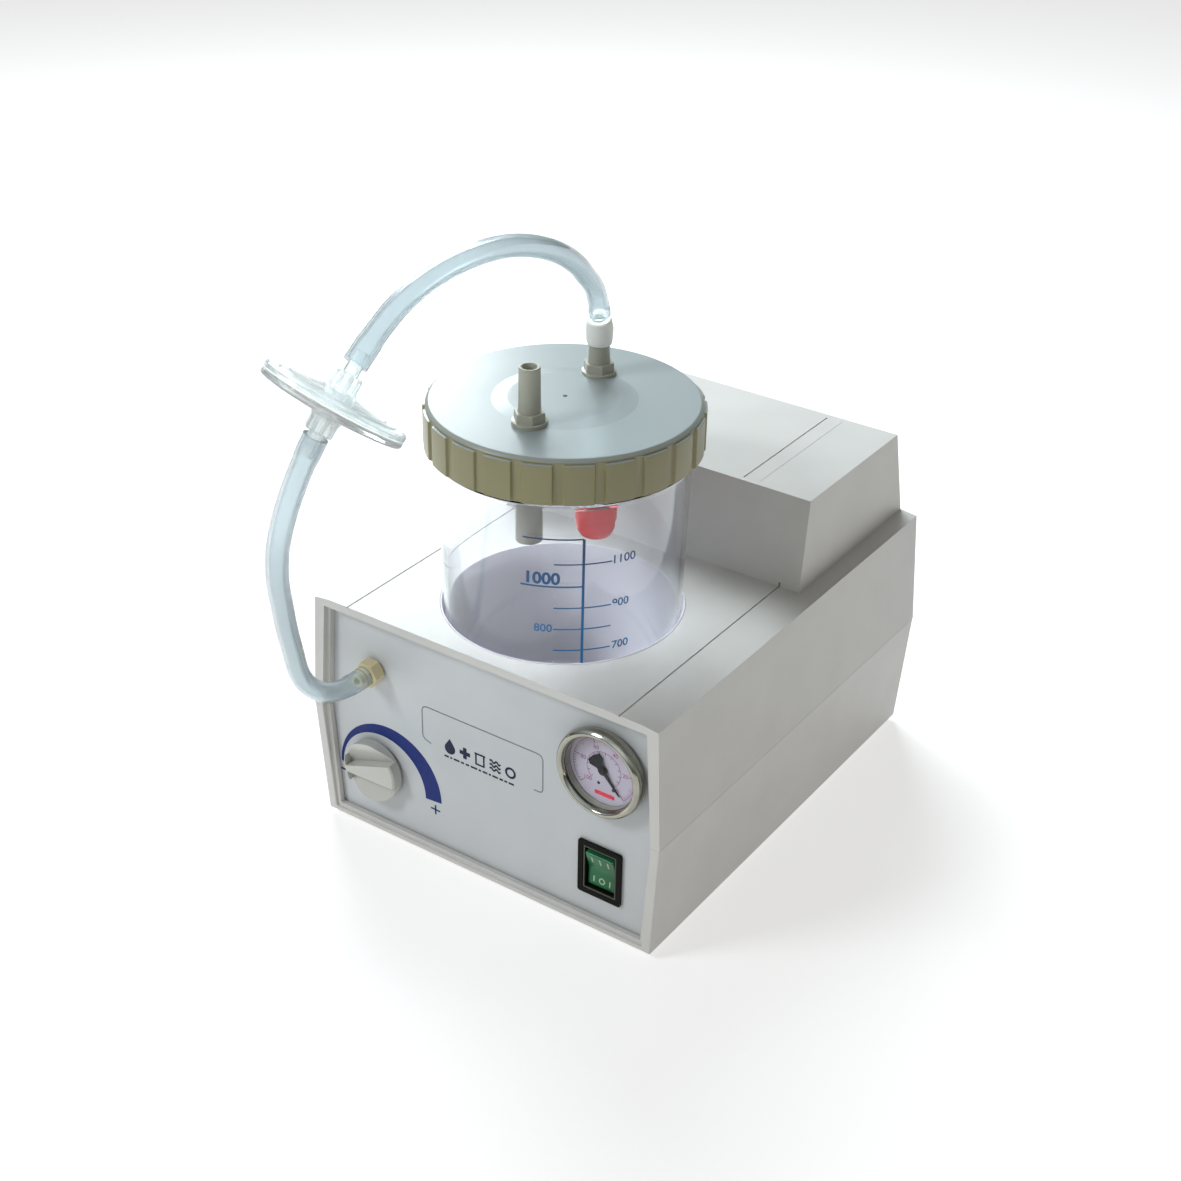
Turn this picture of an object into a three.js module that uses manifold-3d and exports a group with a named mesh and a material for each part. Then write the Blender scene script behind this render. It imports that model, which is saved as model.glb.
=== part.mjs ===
// Portable suction pump: a two-part plastic housing with a raised rear box over the compressor,
// a 1 litre collection jar standing in a round well, and a front panel with regulator, gauge
// and rocker switch. Millimetres, +Z up, -Y is the front. Z = 0 is the underside of the feet.
import * as THREE from 'three';
import * as BufferGeometryUtils from 'three/addons/utils/BufferGeometryUtils.js';
import Module from 'manifold-3d';

const wasm = await Module();
wasm.setup();

// ---------------------------------------------------------------- driving dimensions
const GAP = 0.3;                 // clearance between pieces that touch
const FOOT_H = 3;                // feet below the lower shell
const WALL = 3;                  // housing wall
const PART_Z = 65.2;             // parting line between the shells
const TOP_Z = 127.6;             // main top of the housing
const BOX_TOP_Z = 172.6;         // top of the raised rear box
const TOP_HALF_X = 97;           // half width at the main top
const PART_HALF_X = 100.5;       // half width at the parting line
const BASE_HALF_X = 96.5;        // half width at the bottom edge
const TOP_Y = [-121.75, 121.75]; // front and rear at the main top
const PART_Y = [-122.6, 124];    // front and rear at the parting line
const BASE_Y = [-120.9, 122.6];  // front and rear at the bottom edge
const BOX_HALF_X = [88, 85.5];   // raised box half width, foot and top
const BOX_FRONT_Y = [14.8, 24.2];// raised box front face, foot and top
const BOX_REAR_Y = [121.75, 113.4];
const SHOULDER_X = 88;           // the top slopes gently outside this line
const SHOULDER_DROP = 1.2;
const PANEL_Y = -116.2;          // front face of the front panel
const PANEL_T = 1.5;
const REAR_PANEL_Y = 118;        // outer face of the rear panel
const JAR_X = 0;
const JAR_Y = -55.6;             // jar axis
const WELL_R = 57;               // inside of the jar well
const WELL_WALL = 1.7;
const WELL_FLOOR_Z = 52;
const JAR_R = [55, 56.1, 58.2];  // jar outside: foot, at the housing top, below the lid
const JAR_WALL = 2.2;
const LID_Z = 231.9;             // flat of the lid
const LID_R = 63.75;
const SKIRT_H = 21.4;
const LID_RIBS = 22;
const PORT_R = 31;               // ports from the jar axis
const PORT_TURN = -84.5;         // degrees from +X to the patient port
const HOSE_D = 9.6;              // clear hose, outside
const FILTER_R = 30;
const GAUGE = { x: 66.8, z: 92.6, r: 22.7 };
const SWITCH = { x: 65.5, z: 34, w: 24, h: 29.8 };
const KNOB = { x: -66.7, z: 37.8, r: 16, h: 8 };
const NOZZLE = { x: -66, z: 94.5, len: 14 };
const SHAFT = { y: 54, z: 50 };  // pump motor axis, along X
const CYL_X = -30;               // cylinder and crank plane
const THROW = 3;                 // crank throw, half the piston stroke

// the origin is under the middle of the outline: nozzle tip to rear edge of the housing
const FRAME_SHIFT_Y = -(PANEL_Y - NOZZLE.len + PART_Y[1]) / 2;

// ---------------------------------------------------------------- shape helpers
const V = (x, y, z) => new THREE.Vector3(x, y, z);
const rad = THREE.MathUtils.degToRad;

function merged(geometry) {
  const g = geometry.index ? geometry.clone() : geometry;
  g.deleteAttribute('normal');
  g.deleteAttribute('uv');
  return BufferGeometryUtils.mergeVertices(g, 1e-4);
}

function volume(g) {
  const p = g.attributes.position;
  const i = g.index.array;
  const a = V(), b = V(), c = V();
  let sum = 0;
  for (let k = 0; k < i.length; k += 3) {
    a.fromBufferAttribute(p, i[k]);
    b.fromBufferAttribute(p, i[k + 1]);
    c.fromBufferAttribute(p, i[k + 2]);
    sum += a.dot(b.cross(c)) / 6;
  }
  return sum;
}

// closed geometry with its faces pointing out
function closed(geometry) {
  const g = merged(geometry);
  if (volume(g) < 0) {
    const i = g.index.array;
    for (let k = 0; k < i.length; k += 3) [i[k + 1], i[k + 2]] = [i[k + 2], i[k + 1]];
  }
  return g;
}

function solid(geometry) {
  const g = closed(geometry);
  return new wasm.Manifold(new wasm.Mesh({
    numProp: 3,
    vertProperties: new Float32Array(g.attributes.position.array),
    triVerts: new Uint32Array(g.index.array),
  }));
}

function geometryOf(manifold) {
  const m = manifold.getMesh();
  const g = new THREE.BufferGeometry();
  g.setAttribute('position', new THREE.BufferAttribute(m.vertProperties, 3));
  g.setIndex(new THREE.BufferAttribute(m.triVerts, 1));
  return g;
}

const join = (...list) => geometryOf(list.map(solid).reduce((a, b) => a.add(b)));
function cut(base, ...tools) {
  return geometryOf(tools.map(solid).reduce((a, b) => a.subtract(b), solid(base)));
}

function box(x, y, z) {
  const g = new THREE.BoxGeometry(x[1] - x[0], y[1] - y[0], z[1] - z[0]);
  return g.translate((x[0] + x[1]) / 2, (y[0] + y[1]) / 2, (z[0] + z[1]) / 2);
}

// solid of revolution about Z: profile points are [radius, z], closed by the axis or on itself
function turned(profile, segments = 32) {
  const points = profile.map(([r, z]) => new THREE.Vector2(r, z));
  return new THREE.LatheGeometry(points, segments).rotateX(Math.PI / 2);
}

function disc(r, z0, z1, segments = 32) {
  return turned([[0, z0], [r, z0], [r, z1], [0, z1]], segments);
}

function ring(r0, r1, z0, z1, segments = 32) {
  return turned([[r0, z0], [r1, z0], [r1, z1], [r0, z1], [r0, z0]], segments);
}

const alongX = (g) => g.rotateY(Math.PI / 2);        // Z axis becomes X
const alongFront = (g) => g.rotateX(Math.PI / 2);    // Z axis becomes -Y
const alongRear = (g) => g.rotateX(-Math.PI / 2);    // Z axis becomes +Y
const at = (g, x, y, z) => g.translate(x, y, z);

// block between two rectangles {x: half width, y: [front, rear]} at heights z0 and z1
function tapered(low, high, z0, z1) {
  const corner = (s, z) => [
    [-s.x, s.y[0], z], [s.x, s.y[0], z], [s.x, s.y[1], z], [-s.x, s.y[1], z],
  ];
  const g = new THREE.BufferGeometry();
  const position = new Float32Array([...corner(low, z0), ...corner(high, z1)].flat());
  g.setAttribute('position', new THREE.BufferAttribute(position, 3));
  g.setIndex([0, 2, 1, 0, 3, 2, 4, 5, 6, 4, 6, 7, 0, 1, 5, 0, 5, 4,
    1, 2, 6, 1, 6, 5, 2, 3, 7, 2, 7, 6, 3, 0, 4, 3, 4, 7]);
  return g;
}

const shrink = (s, d) => ({ x: s.x - d, y: [s.y[0] + d, s.y[1] - d] });
const inner = (s) => ({ x: s.x - WALL, y: [PANEL_Y - GAP, REAR_PANEL_Y + GAP] });

// flat outline in the XZ plane, extruded from y0 to y1
function plate(outline, y0, y1, holes = []) {
  const shape = new THREE.Shape(outline.map(([x, z]) => new THREE.Vector2(x, z)));
  shape.holes.push(...holes);
  const g = new THREE.ExtrudeGeometry(shape, { depth: y1 - y0, bevelEnabled: false });
  return g.rotateX(Math.PI / 2).translate(0, y1, 0);
}

function roundHole(x, z, r) {
  return new THREE.Path().absarc(x, z, r, 0, 2 * Math.PI, true);
}

function squareHole(x, z, w, h) {
  const p = new THREE.Path();
  p.moveTo(x - w / 2, z - h / 2);
  p.lineTo(x - w / 2, z + h / 2);
  p.lineTo(x + w / 2, z + h / 2);
  p.lineTo(x + w / 2, z - h / 2);
  p.closePath();
  return p;
}

// tube solid along a smooth curve through the points
function hose(points, diameter, steps, sides = 10) {
  const circle = new THREE.Shape();
  const r = diameter / 2;
  for (let i = 0; i < sides; i += 1) {
    const a = (2 * Math.PI * i) / sides;
    if (i === 0) circle.moveTo(r, 0);
    else circle.lineTo(r * Math.cos(a), r * Math.sin(a));
  }
  circle.closePath();
  const path = new THREE.CatmullRomCurve3(points.map((p) => V(...p)), false, 'centripetal');
  return new THREE.ExtrudeGeometry(circle, { steps, extrudePath: path, bevelEnabled: false });
}

// ---------------------------------------------------------------- materials
function material(color, roughness, metalness = 0) {
  return () => new THREE.MeshStandardMaterial({ color, roughness, metalness });
}
const LOOK = {
  housing: material(0xdedfe0, 0.45),
  panel: material(0xc9ccd0, 0.5),
  lid: material(0xe6e3d6, 0.4),
  clear: material(0xdfeaf0, 0.1),
  greyPlastic: material(0xa8a8a2, 0.4),
  red: material(0xd4282d, 0.35),
  rubber: material(0x2a2a2a, 0.8),
  silicone: material(0xd8d8d2, 0.6),
  chrome: material(0xe2e2e2, 0.15, 1),
  steel: material(0xb5b8bb, 0.35, 1),
  aluminium: material(0xc3c5c7, 0.4, 1),
  brass: material(0xc6a24a, 0.35, 1),
  copper: material(0xb5652f, 0.4, 1),
  iron: material(0x6c6d70, 0.6, 0.6),
  dial: material(0xf4f1f4, 0.6),
  black: material(0x141414, 0.4),
  green: material(0x1d7a3c, 0.3),
  ivory: material(0xe9e2c4, 0.4),
};

const pump = new THREE.Group();
pump.position.y = FRAME_SHIFT_Y;

function add(name, geometry, look, position = [0, 0, 0], parent = pump) {
  const mesh = new THREE.Mesh(closed(geometry), look());
  mesh.name = name;
  mesh.position.set(...position);
  parent.add(mesh);
  return mesh;
}

// ---------------------------------------------------------------- housing
const TOP = { x: TOP_HALF_X, y: TOP_Y };
const PART = { x: PART_HALF_X, y: PART_Y };
const BASE = { x: BASE_HALF_X, y: BASE_Y };
const BOX_FOOT = { x: BOX_HALF_X[0], y: [BOX_FRONT_Y[0], BOX_REAR_Y[0]] };
const BOX_HEAD = { x: BOX_HALF_X[1], y: [BOX_FRONT_Y[1], BOX_REAR_Y[1]] };
const FRONT_OPENING = [[-89.9, 7.5], [89.9, 7.5], [93.8, PART_Z], [89.6, 121.5], [-89.6, 121.5],
  [-93.8, PART_Z]];
const REAR_OPENING = [[-88, 10], [88, 10], [92, PART_Z], [88, 118], [-88, 118], [-92, PART_Z]];
const BASE_SCREW_XY = [[-82, -90], [82, -90], [-82, 104], [82, 104]];
const FOOT_XY = [[-76, -78], [76, -78], [-76, 84], [76, 84]];

function lowerShell() {
  const z0 = FOOT_H;
  const z1 = PART_Z - GAP / 2;
  const outer = tapered(BASE, PART, z0, z1);
  const hollow = tapered(inner(BASE), inner(PART), z0 + WALL, z1 + 1);
  const front = plate(FRONT_OPENING, PART_Y[0] - 5, PANEL_Y + 1);
  const rear = plate(REAR_OPENING, REAR_PANEL_Y - 1, PART_Y[1] + 5);
  const vents = [];
  for (let i = -3; i <= 3; i += 1) {
    vents.push(box([i * 9 - 1.8, i * 9 + 1.8], [40, 84], [z0 - 1, z0 + WALL + 1]));
  }
  const bores = BASE_SCREW_XY.map(([x, y]) => at(disc(2.4, z0 - 1, z0 + WALL + 1, 12), x, y, 0));
  const pegs = FOOT_XY.map(([x, y]) => at(disc(3.2, z0 - 1, z0 + WALL + 1, 12), x, y, 0));
  return cut(outer, hollow, front, rear, ...vents, ...bores, ...pegs);
}

function upperShell() {
  const z0 = PART_Z + GAP / 2;
  const body = tapered(PART, TOP, z0, TOP_Z);
  const bulge = tapered(BOX_FOOT, BOX_HEAD, TOP_Z - 1, BOX_TOP_Z);
  const hollow = tapered(inner(PART), inner(TOP), z0 - 1, TOP_Z - WALL);
  const bulgeHollow = tapered(shrink(BOX_FOOT, WALL + 3), shrink(BOX_HEAD, WALL), TOP_Z - WALL - 1,
    BOX_TOP_Z - WALL);
  const well = at(disc(WELL_R + WELL_WALL + GAP, 100, TOP_Z + 1, 40), JAR_X, JAR_Y, 0);
  const front = plate(FRONT_OPENING, PART_Y[0] - 5, PANEL_Y + 1);
  const rear = plate(REAR_OPENING, REAR_PANEL_Y - 1, PART_Y[1] + 5);
  const shoulders = [-1, 1].map((side) => {
    const edge = [[SHOULDER_X * side, TOP_Z], [(TOP_HALF_X + 1) * side, TOP_Z - SHOULDER_DROP],
      [(TOP_HALF_X + 1) * side, TOP_Z + 1], [SHOULDER_X * side, TOP_Z + 1]];
    return plate(side > 0 ? edge : edge.reverse(), TOP_Y[0] - 1, TOP_Y[1] + 1);
  });
  const posts = BASE_SCREW_XY.map(([x, y]) => at(ring(1.4, 4.5, z0 + 0.2, TOP_Z - 2, 12), x, y, 0));
  const shell = cut(cut(body, hollow, ...shoulders), well, front, rear);
  const raised = cut(bulge, bulgeHollow);
  const mouth = tapered(shrink(BOX_FOOT, WALL + 3), shrink(BOX_FOOT, WALL + 3), TOP_Z - WALL - 2,
    TOP_Z + 2);
  return join(cut(shell, mouth), raised, ...posts);
}

add('lower_shell', lowerShell(), LOOK.housing);
add('upper_shell', upperShell(), LOOK.housing);

// outline of both end panels, inside the shell; the front panel has the cut-outs
const PANEL_EDGE = [[-92.6, 6.8], [92.6, 6.8], [96.6, PART_Z], [93.2, 124], [-93.2, 124],
  [-96.6, PART_Z]];
add('front_panel', plate(PANEL_EDGE, PANEL_Y, PANEL_Y + PANEL_T, [
  roundHole(GAUGE.x, GAUGE.z, 19.9),
  squareHole(SWITCH.x, SWITCH.z, 20.6, 26.8),
  roundHole(KNOB.x, KNOB.z, 5.4),
  roundHole(NOZZLE.x, NOZZLE.z, 5.1),
]), LOOK.panel);

// rear panel with vent slots, power inlet cut-out and exhaust
const INLET = { x: -52, z: 40, w: 27, h: 47 };
const EXHAUST = { x: 60, z: 92 };
const ventSlots = [];
for (let row = 0; row < 7; row += 1) ventSlots.push(squareHole(8, 30 + row * 8, 52, 3.2));
add('rear_panel', plate(PANEL_EDGE, REAR_PANEL_Y - 2, REAR_PANEL_Y, [
  squareHole(INLET.x, INLET.z, INLET.w + 0.6, INLET.h + 0.6),
  roundHole(EXHAUST.x, EXHAUST.z, 6.4),
  ...ventSlots,
]), LOOK.housing);

// ---------------------------------------------------------------- feet
FOOT_XY.forEach(([x, y], i) => {
  const foot = turned([[0, 0], [8.4, 0], [9, 1], [9, FOOT_H - GAP], [2.9, FOOT_H - GAP],
    [2.9, FOOT_H + WALL + GAP], [0, FOOT_H + WALL + GAP]], 20);
  add(`rubber_foot_${i + 1}`, foot, LOOK.rubber, [x, y, 0]);
});

// ---------------------------------------------------------------- jar well
const EAR_DEG = [45, 135, 225, 315];
const EAR_BORE_R = WELL_R + WELL_WALL + 4.5;
function jarWell() {
  const r = WELL_R + WELL_WALL;
  const cup = turned([[0, WELL_FLOOR_Z - 2], [r, WELL_FLOOR_Z - 2], [r, TOP_Z - 0.6],
    [r - 0.6, TOP_Z], [WELL_R, TOP_Z], [WELL_R, WELL_FLOOR_Z], [0, WELL_FLOOR_Z]], 40);
  const ears = EAR_DEG.map((deg) => {
    const ear = box([r - 1, r + 9], [-6, 6], [TOP_Z - WALL - GAP - 3, TOP_Z - WALL - GAP]);
    return ear.rotateZ(rad(deg));
  });
  const bores = EAR_DEG.map((deg) => at(disc(1.8, 100, TOP_Z, 10),
    EAR_BORE_R * Math.cos(rad(deg)), EAR_BORE_R * Math.sin(rad(deg)), 0));
  return cut(join(cup, ...ears), ...bores);
}
add('jar_well', jarWell(), LOOK.housing, [JAR_X, JAR_Y, 0]);

// ---------------------------------------------------------------- collection jar
const JAR_FOOT_Z = WELL_FLOOR_Z + GAP;
const JAR_RIM_Z = LID_Z - 5.1;   // the gasket fills what is left under the lid
const SKIRT_Z = LID_Z - SKIRT_H;

function jar() {
  const w = JAR_WALL;
  const [footR, topR, neckR] = JAR_R;
  const bead = (z) => [[neckR, z], [60, z + 0.8], [60, z + 2.6], [neckR, z + 3.4]];
  return turned([
    [0, JAR_FOOT_Z + 1.5], [44, JAR_FOOT_Z + 1.5], [47, JAR_FOOT_Z], [52, JAR_FOOT_Z],
    [footR, JAR_FOOT_Z + 3], [topR, TOP_Z], ...bead(SKIRT_Z - 5), ...bead(SKIRT_Z + 6),
    [neckR, JAR_RIM_Z], [neckR - w, JAR_RIM_Z], [topR - w, TOP_Z], [footR - w, JAR_FOOT_Z + 7],
    [footR - w - 3, JAR_FOOT_Z + 4], [0, JAR_FOOT_Z + 4],
  ], 40);
}
add('jar', jar(), LOOK.clear, [JAR_X, JAR_Y, 0]);

// ---------------------------------------------------------------- lid and its fittings
const lid = new THREE.Group();
lid.position.set(JAR_X, JAR_Y, 0);
pump.add(lid);
const PATIENT = [PORT_R * Math.cos(rad(PORT_TURN)), PORT_R * Math.sin(rad(PORT_TURN)), 0];
const VACUUM = [-PATIENT[0], -PATIENT[1], 0];
const DISC_RISE = 1.6;           // raised centre of the lid
const DISC_R = [28, 31.5];       // its edge, top and foot
const LID_T = 2.5;
const SKIRT_R = 60.6;            // inside of the skirt
const PORT_HOLE_R = 4.5;

const LID_UNDER_Z = LID_Z - LID_T - GAP;

function jarLid() {
  const r = LID_R - 1.2;
  const cap = turned([[0, LID_Z - LID_T], [SKIRT_R, LID_Z - LID_T], [SKIRT_R, SKIRT_Z], [r, SKIRT_Z],
    [r, LID_Z - 1.4], [LID_R - 2.2, LID_Z], [DISC_R[1], LID_Z], [DISC_R[0], LID_Z + DISC_RISE],
    [0, LID_Z + DISC_RISE],
  ], 44);
  const ribs = [];
  for (let i = 0; i < LID_RIBS; i += 1) {
    const pitch = 360 / LID_RIBS;
    const rib = box([r - 1, LID_R], [-6.4, 6.4], [SKIRT_Z, LID_Z - 2]);
    ribs.push(rib.rotateZ(rad(i * pitch)));
  }
  const ports = [PATIENT, VACUUM].map(([x, y]) => at(disc(PORT_HOLE_R, SKIRT_Z, LID_Z + 10, 20), x, y, 0));
  return cut(join(cap, ...ribs), ...ports);
}
add('jar_lid', jarLid(), LOOK.lid, [0, 0, 0], lid);
add('lid_gasket', ring(54.5, SKIRT_R - 0.6, JAR_RIM_Z + GAP, LID_UNDER_Z, 40), LOOK.silicone,
  [0, 0, 0], lid);

// hexagonal collar with a tube above and a stem through the lid
const COLLAR_Z = LID_Z + DISC_RISE + GAP;
function port([stemBottom, tubeTop]) {
  const tube = turned([[3.2, stemBottom], [4.1, stemBottom], [4.1, COLLAR_Z + 1], [5.2, COLLAR_Z + 1],
    [4.8, tubeTop - 0.8], [4.3, tubeTop], [3.2, tubeTop], [3.2, stemBottom]], 16);
  const collar = ring(3.7, 7.4, COLLAR_Z, COLLAR_Z + 4.6, 6);
  return join(tube, collar);
}
const PATIENT_TUBE = [206, COLLAR_Z + 25];
const VACUUM_TUBE = [222, COLLAR_Z + 18];
add('patient_port', port(PATIENT_TUBE), LOOK.lid, PATIENT, lid);
const DIP_END_Z = 175.4;
const DIP_R = [PORT_HOLE_R, 6.05];
add('dip_tube', ring(...DIP_R, DIP_END_Z, LID_UNDER_Z, 20), LOOK.greyPlastic, PATIENT, lid);
add('vacuum_port', port(VACUUM_TUBE), LOOK.lid, VACUUM, lid);

// float valve: the red cup hangs on the stem's flange and rises to close its mouth
const STEM_MOUTH_Z = 166.4;
const FLOAT_Z = 148.4;          // underside of the cup, hanging at rest
add('float_stem', turned([[4.4, LID_UNDER_Z], [4.4, STEM_MOUTH_Z], [7.4, STEM_MOUTH_Z],
  [7.4, STEM_MOUTH_Z + 1.6], [5.8, STEM_MOUTH_Z + 2.4], [5.8, LID_Z - 6], [9, LID_Z - 4.6],
  [9, LID_UNDER_Z], [4.4, LID_UNDER_Z]], 18), LOOK.greyPlastic, VACUUM, lid);
add('float_cup', turned([[0, FLOAT_Z], [3.6, FLOAT_Z + 0.5], [6.9, FLOAT_Z + 2.4],
  [8.9, FLOAT_Z + 5.4], [9.4, FLOAT_Z + 8.6], [9.4, STEM_MOUTH_Z + 5.4], [6.2, STEM_MOUTH_Z + 5.4],
  [6.2, STEM_MOUTH_Z + 3.6], [8.2, STEM_MOUTH_Z + 2.7], [8.2, FLOAT_Z + 6],
  [6.2, FLOAT_Z + 3.9], [0, FLOAT_Z + 2]], 20), LOOK.red, VACUUM, lid);
add('float_seal', disc(5, FLOAT_Z + 4.2, FLOAT_Z + 6.2, 18), LOOK.rubber, VACUUM, lid);

// hose cuff on the vacuum port
const CUFF_Z = [COLLAR_Z + 13, COLLAR_Z + 25.5];
add('hose_cuff', turned([[5.1, CUFF_Z[0]], [5.7, CUFF_Z[0]], [6.2, CUFF_Z[0] + 2.5], [6.3, CUFF_Z[1] - 4],
  [5.8, CUFF_Z[1] - 1], [5, CUFF_Z[1]], [3.2, CUFF_Z[1]], [3.2, CUFF_Z[0] + 5 + GAP],
  [5.1, CUFF_Z[0] + 5 + GAP], [5.1, CUFF_Z[0]]], 16), LOOK.lid, VACUUM, lid);

// ---------------------------------------------------------------- suction hoses and filter
// Routes by hand, from the panel nozzle to the lower filter neck, and from the upper neck
// over to the cuff on the lid.
const LOWER_ROUTE = [
  [-66, -131, 94.5], [-66, -139.3, 95.4], [-66, -147.3, 98], [-66, -154.5, 102.1],
  [-65.8, -160.6, 107.6], [-64.8, -166.2, 114.6], [-62, -172.4, 124.6], [-55.2, -181.8, 141.5],
  [-46, -194, 162.5], [-36.5, -205.5, 183.5], [-27.5, -216, 204], [-19.5, -222.5, 224],
  [-12.3, -223.8, 243.5], [-6, -220.3, 262.5], [-2.5, -215.5, 274.2],
];
const UPPER_ROUTE = [
  [4, -198.6, 299.6], [5.5, -189.2, 308], [6.8, -176.5, 316.2], [8.4, -161, 322],
  [9.8, -144, 324.7], [10.6, -126, 324.3], [10.4, -107, 320.8], [9.3, -88, 314.2],
  [7.4, -70, 305.4], [4.9, -55, 295.6], [2.6, -45.6, 287.9], [0.4, -37.4, 281.1],
  [-1.1, -31.8, 275.3], [-2.2, -27.8, 268.7], [-2.7, -26.1, 265], [-2.97, -24.9, 261.2],
];
add('hose_lower', hose(LOWER_ROUTE, HOSE_D, 26), LOOK.clear);
add('hose_upper', hose(UPPER_ROUTE, HOSE_D, 26), LOOK.clear);

// in-line filter: two clear halves clamp a membrane, each with a neck for a hose
const FILTER_AT = V(1.1, -208.4, 286.2);
const FILTER_AXIS = V(0.2, 0.562, 0.803).normalize();
const filter = new THREE.Group();
filter.position.copy(FILTER_AT);
filter.quaternion.setFromUnitVectors(V(0, 0, 1), FILTER_AXIS);
pump.add(filter);
const NECK_END = 13.2;
const HALF_GAP = 0.45;           // each half stands this far from the filter's middle plane
function filterHalf(side) {
  const profile = [[1.6, NECK_END], [3.2, NECK_END], [3.9, 10.4], [3.3, 9], [5.2, 8.6], [5.6, 4.6],
    [FILTER_R, 2.5], [FILTER_R, HALF_GAP], [FILTER_R - 3.4, HALF_GAP], [FILTER_R - 3.4, 1.3], [1.6, 2.9],
    [1.6, NECK_END]];
  return turned(profile.map(([r, z]) => [r, side * z]), 28);
}
add('filter_upper', filterHalf(1), LOOK.clear, [0, 0, 0], filter);
add('filter_lower', filterHalf(-1), LOOK.clear, [0, 0, 0], filter);
add('filter_membrane', disc(FILTER_R - 0.6, -0.15, 0.15, 28), LOOK.dial, [0, 0, 0], filter);

// ---------------------------------------------------------------- panel nozzle
const nozzle = new THREE.Group();
nozzle.position.set(NOZZLE.x, PANEL_Y, NOZZLE.z);
nozzle.rotation.x = Math.PI / 2;
pump.add(nozzle);
add('inlet_nozzle', join(
  turned([[1.8, -16], [4.7, -16], [4.7, 1], [3.2, 3], [3.2, 7.6], [3.9, 8], [3.2, 10.4], [3.9, 10.8],
    [3, NOZZLE.len], [1.8, NOZZLE.len], [1.8, -16]], 16),
  ring(3, 5.4, GAP, 1.6, 16),
  ring(3, 6.8, 1.2, 6.8, 6),
), LOOK.ivory, [0, 0, 0], nozzle);

// ---------------------------------------------------------------- vacuum gauge
const gauge = new THREE.Group();
gauge.position.set(GAUGE.x, PANEL_Y, GAUGE.z);
gauge.rotation.x = Math.PI / 2;  // local +Z points to the front
pump.add(gauge);
const CASE_R = 19.5;
const CASE_BACK = -17;
const DIAL_Z = [0.4, 1.2];
const LENS_Z = [3.9, 5];
const SPINDLE_BORE_R = 1.3;
add('gauge_case', cut(
  turned([[0, CASE_BACK], [CASE_R, CASE_BACK], [CASE_R, 2], [CASE_R - 1, 2],
    [CASE_R - 1, CASE_BACK + 1], [0, CASE_BACK + 1]], 28),
  disc(3.4, CASE_BACK - 1, CASE_BACK + 2, 12),
), LOOK.black, [0, 0, 0], gauge);
add('gauge_bezel', turned([[19.8, GAP], [21.6, GAP], [GAUGE.r, 3], [GAUGE.r, 6], [21.4, 7.6],
  [18.6, 7.8], [18.6, 5.4], [19.8, 5.2], [19.8, GAP]], 32), LOOK.chrome, [0, 0, 0], gauge);
add('gauge_dial', ring(SPINDLE_BORE_R, CASE_R - 1.3, ...DIAL_Z, 28), LOOK.dial, [0, 0, 0], gauge);
add('gauge_lens', disc(CASE_R - 0.1, ...LENS_Z, 32), LOOK.clear, [0, 0, 0], gauge);
add('gauge_stem', turned([[SPINDLE_BORE_R, CASE_BACK - 9], [4, CASE_BACK - 9], [4, CASE_BACK - 2],
  [5.5, CASE_BACK - 2], [5.5, CASE_BACK - GAP], [3, CASE_BACK - GAP], [3, CASE_BACK + 3],
  [SPINDLE_BORE_R, CASE_BACK + 3], [SPINDLE_BORE_R, CASE_BACK - 9]], 12), LOOK.brass, [0, 0, 0], gauge);

// needle: pointer, boss and spindle turn together
const NEEDLE_REST = -49;         // degrees: points at zero, lower right
function needle() {
  const shape = new THREE.Shape();
  shape.moveTo(-7.4, -3.4);
  shape.lineTo(-5.4, -4);
  shape.lineTo(-2, -1.2);
  shape.lineTo(13.5, -0.25);
  shape.lineTo(13.5, 0.25);
  shape.lineTo(-2, 1.2);
  shape.lineTo(-5.4, 4);
  shape.lineTo(-7.4, 3.4);
  shape.closePath();
  const pointer = new THREE.ExtrudeGeometry(shape, { depth: 0.5, bevelEnabled: false });
  pointer.translate(0, 0, 2);
  return join(pointer, disc(2, 1.6, 2.9, 14), disc(0.9, -7, 2.2, 10)).rotateZ(rad(NEEDLE_REST));
}
add('gauge_needle', needle(), LOOK.black, [0, 0, 0], gauge);

// ---------------------------------------------------------------- rocker switch
const rockerSwitch = new THREE.Group();
rockerSwitch.position.set(SWITCH.x, PANEL_Y, SWITCH.z);
rockerSwitch.rotation.x = Math.PI / 2;
pump.add(rockerSwitch);
const block = (w, h, z) => box([-w / 2, w / 2], [-h / 2, h / 2], z);
const POCKET = { w: 16.4, h: 22.4, depth: 14 };
add('switch_frame', cut(
  join(block(SWITCH.w, SWITCH.h, [GAP, 1.5]), block(20, 26.2, [-22, 1])),
  block(POCKET.w, POCKET.h, [-POCKET.depth, 3]),
), LOOK.black, [0, 0, 0], rockerSwitch);
const ROCKER_TILT = 8;           // degrees each side of flat; rest is off, upper end proud
const ROCKER_PIVOT = -7.2;
const ROCKER_W = POCKET.w - 0.8;
function rocker() {
  const side = new THREE.Shape();
  side.moveTo(-10.6, 3.4);
  side.lineTo(-9, -3.5);
  side.lineTo(9, -3.5);
  side.lineTo(10.6, 3.4);
  side.lineTo(9.8, 7.6);
  side.lineTo(0, 5.8);
  side.lineTo(-9.8, 7.6);
  side.closePath();
  const body = new THREE.ExtrudeGeometry(side, { depth: ROCKER_W, bevelEnabled: false });
  body.translate(0, 0, -ROCKER_W / 2);
  // outline plane is (Y, Z) of the switch, thickness along X
  const turn = new THREE.Matrix4().makeBasis(V(0, 1, 0), V(0, 0, 1), V(1, 0, 0));
  return body.applyMatrix4(turn).rotateX(rad(ROCKER_TILT));
}
add('rocker', rocker(), LOOK.green, [0, 0, ROCKER_PIVOT], rockerSwitch);

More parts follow.
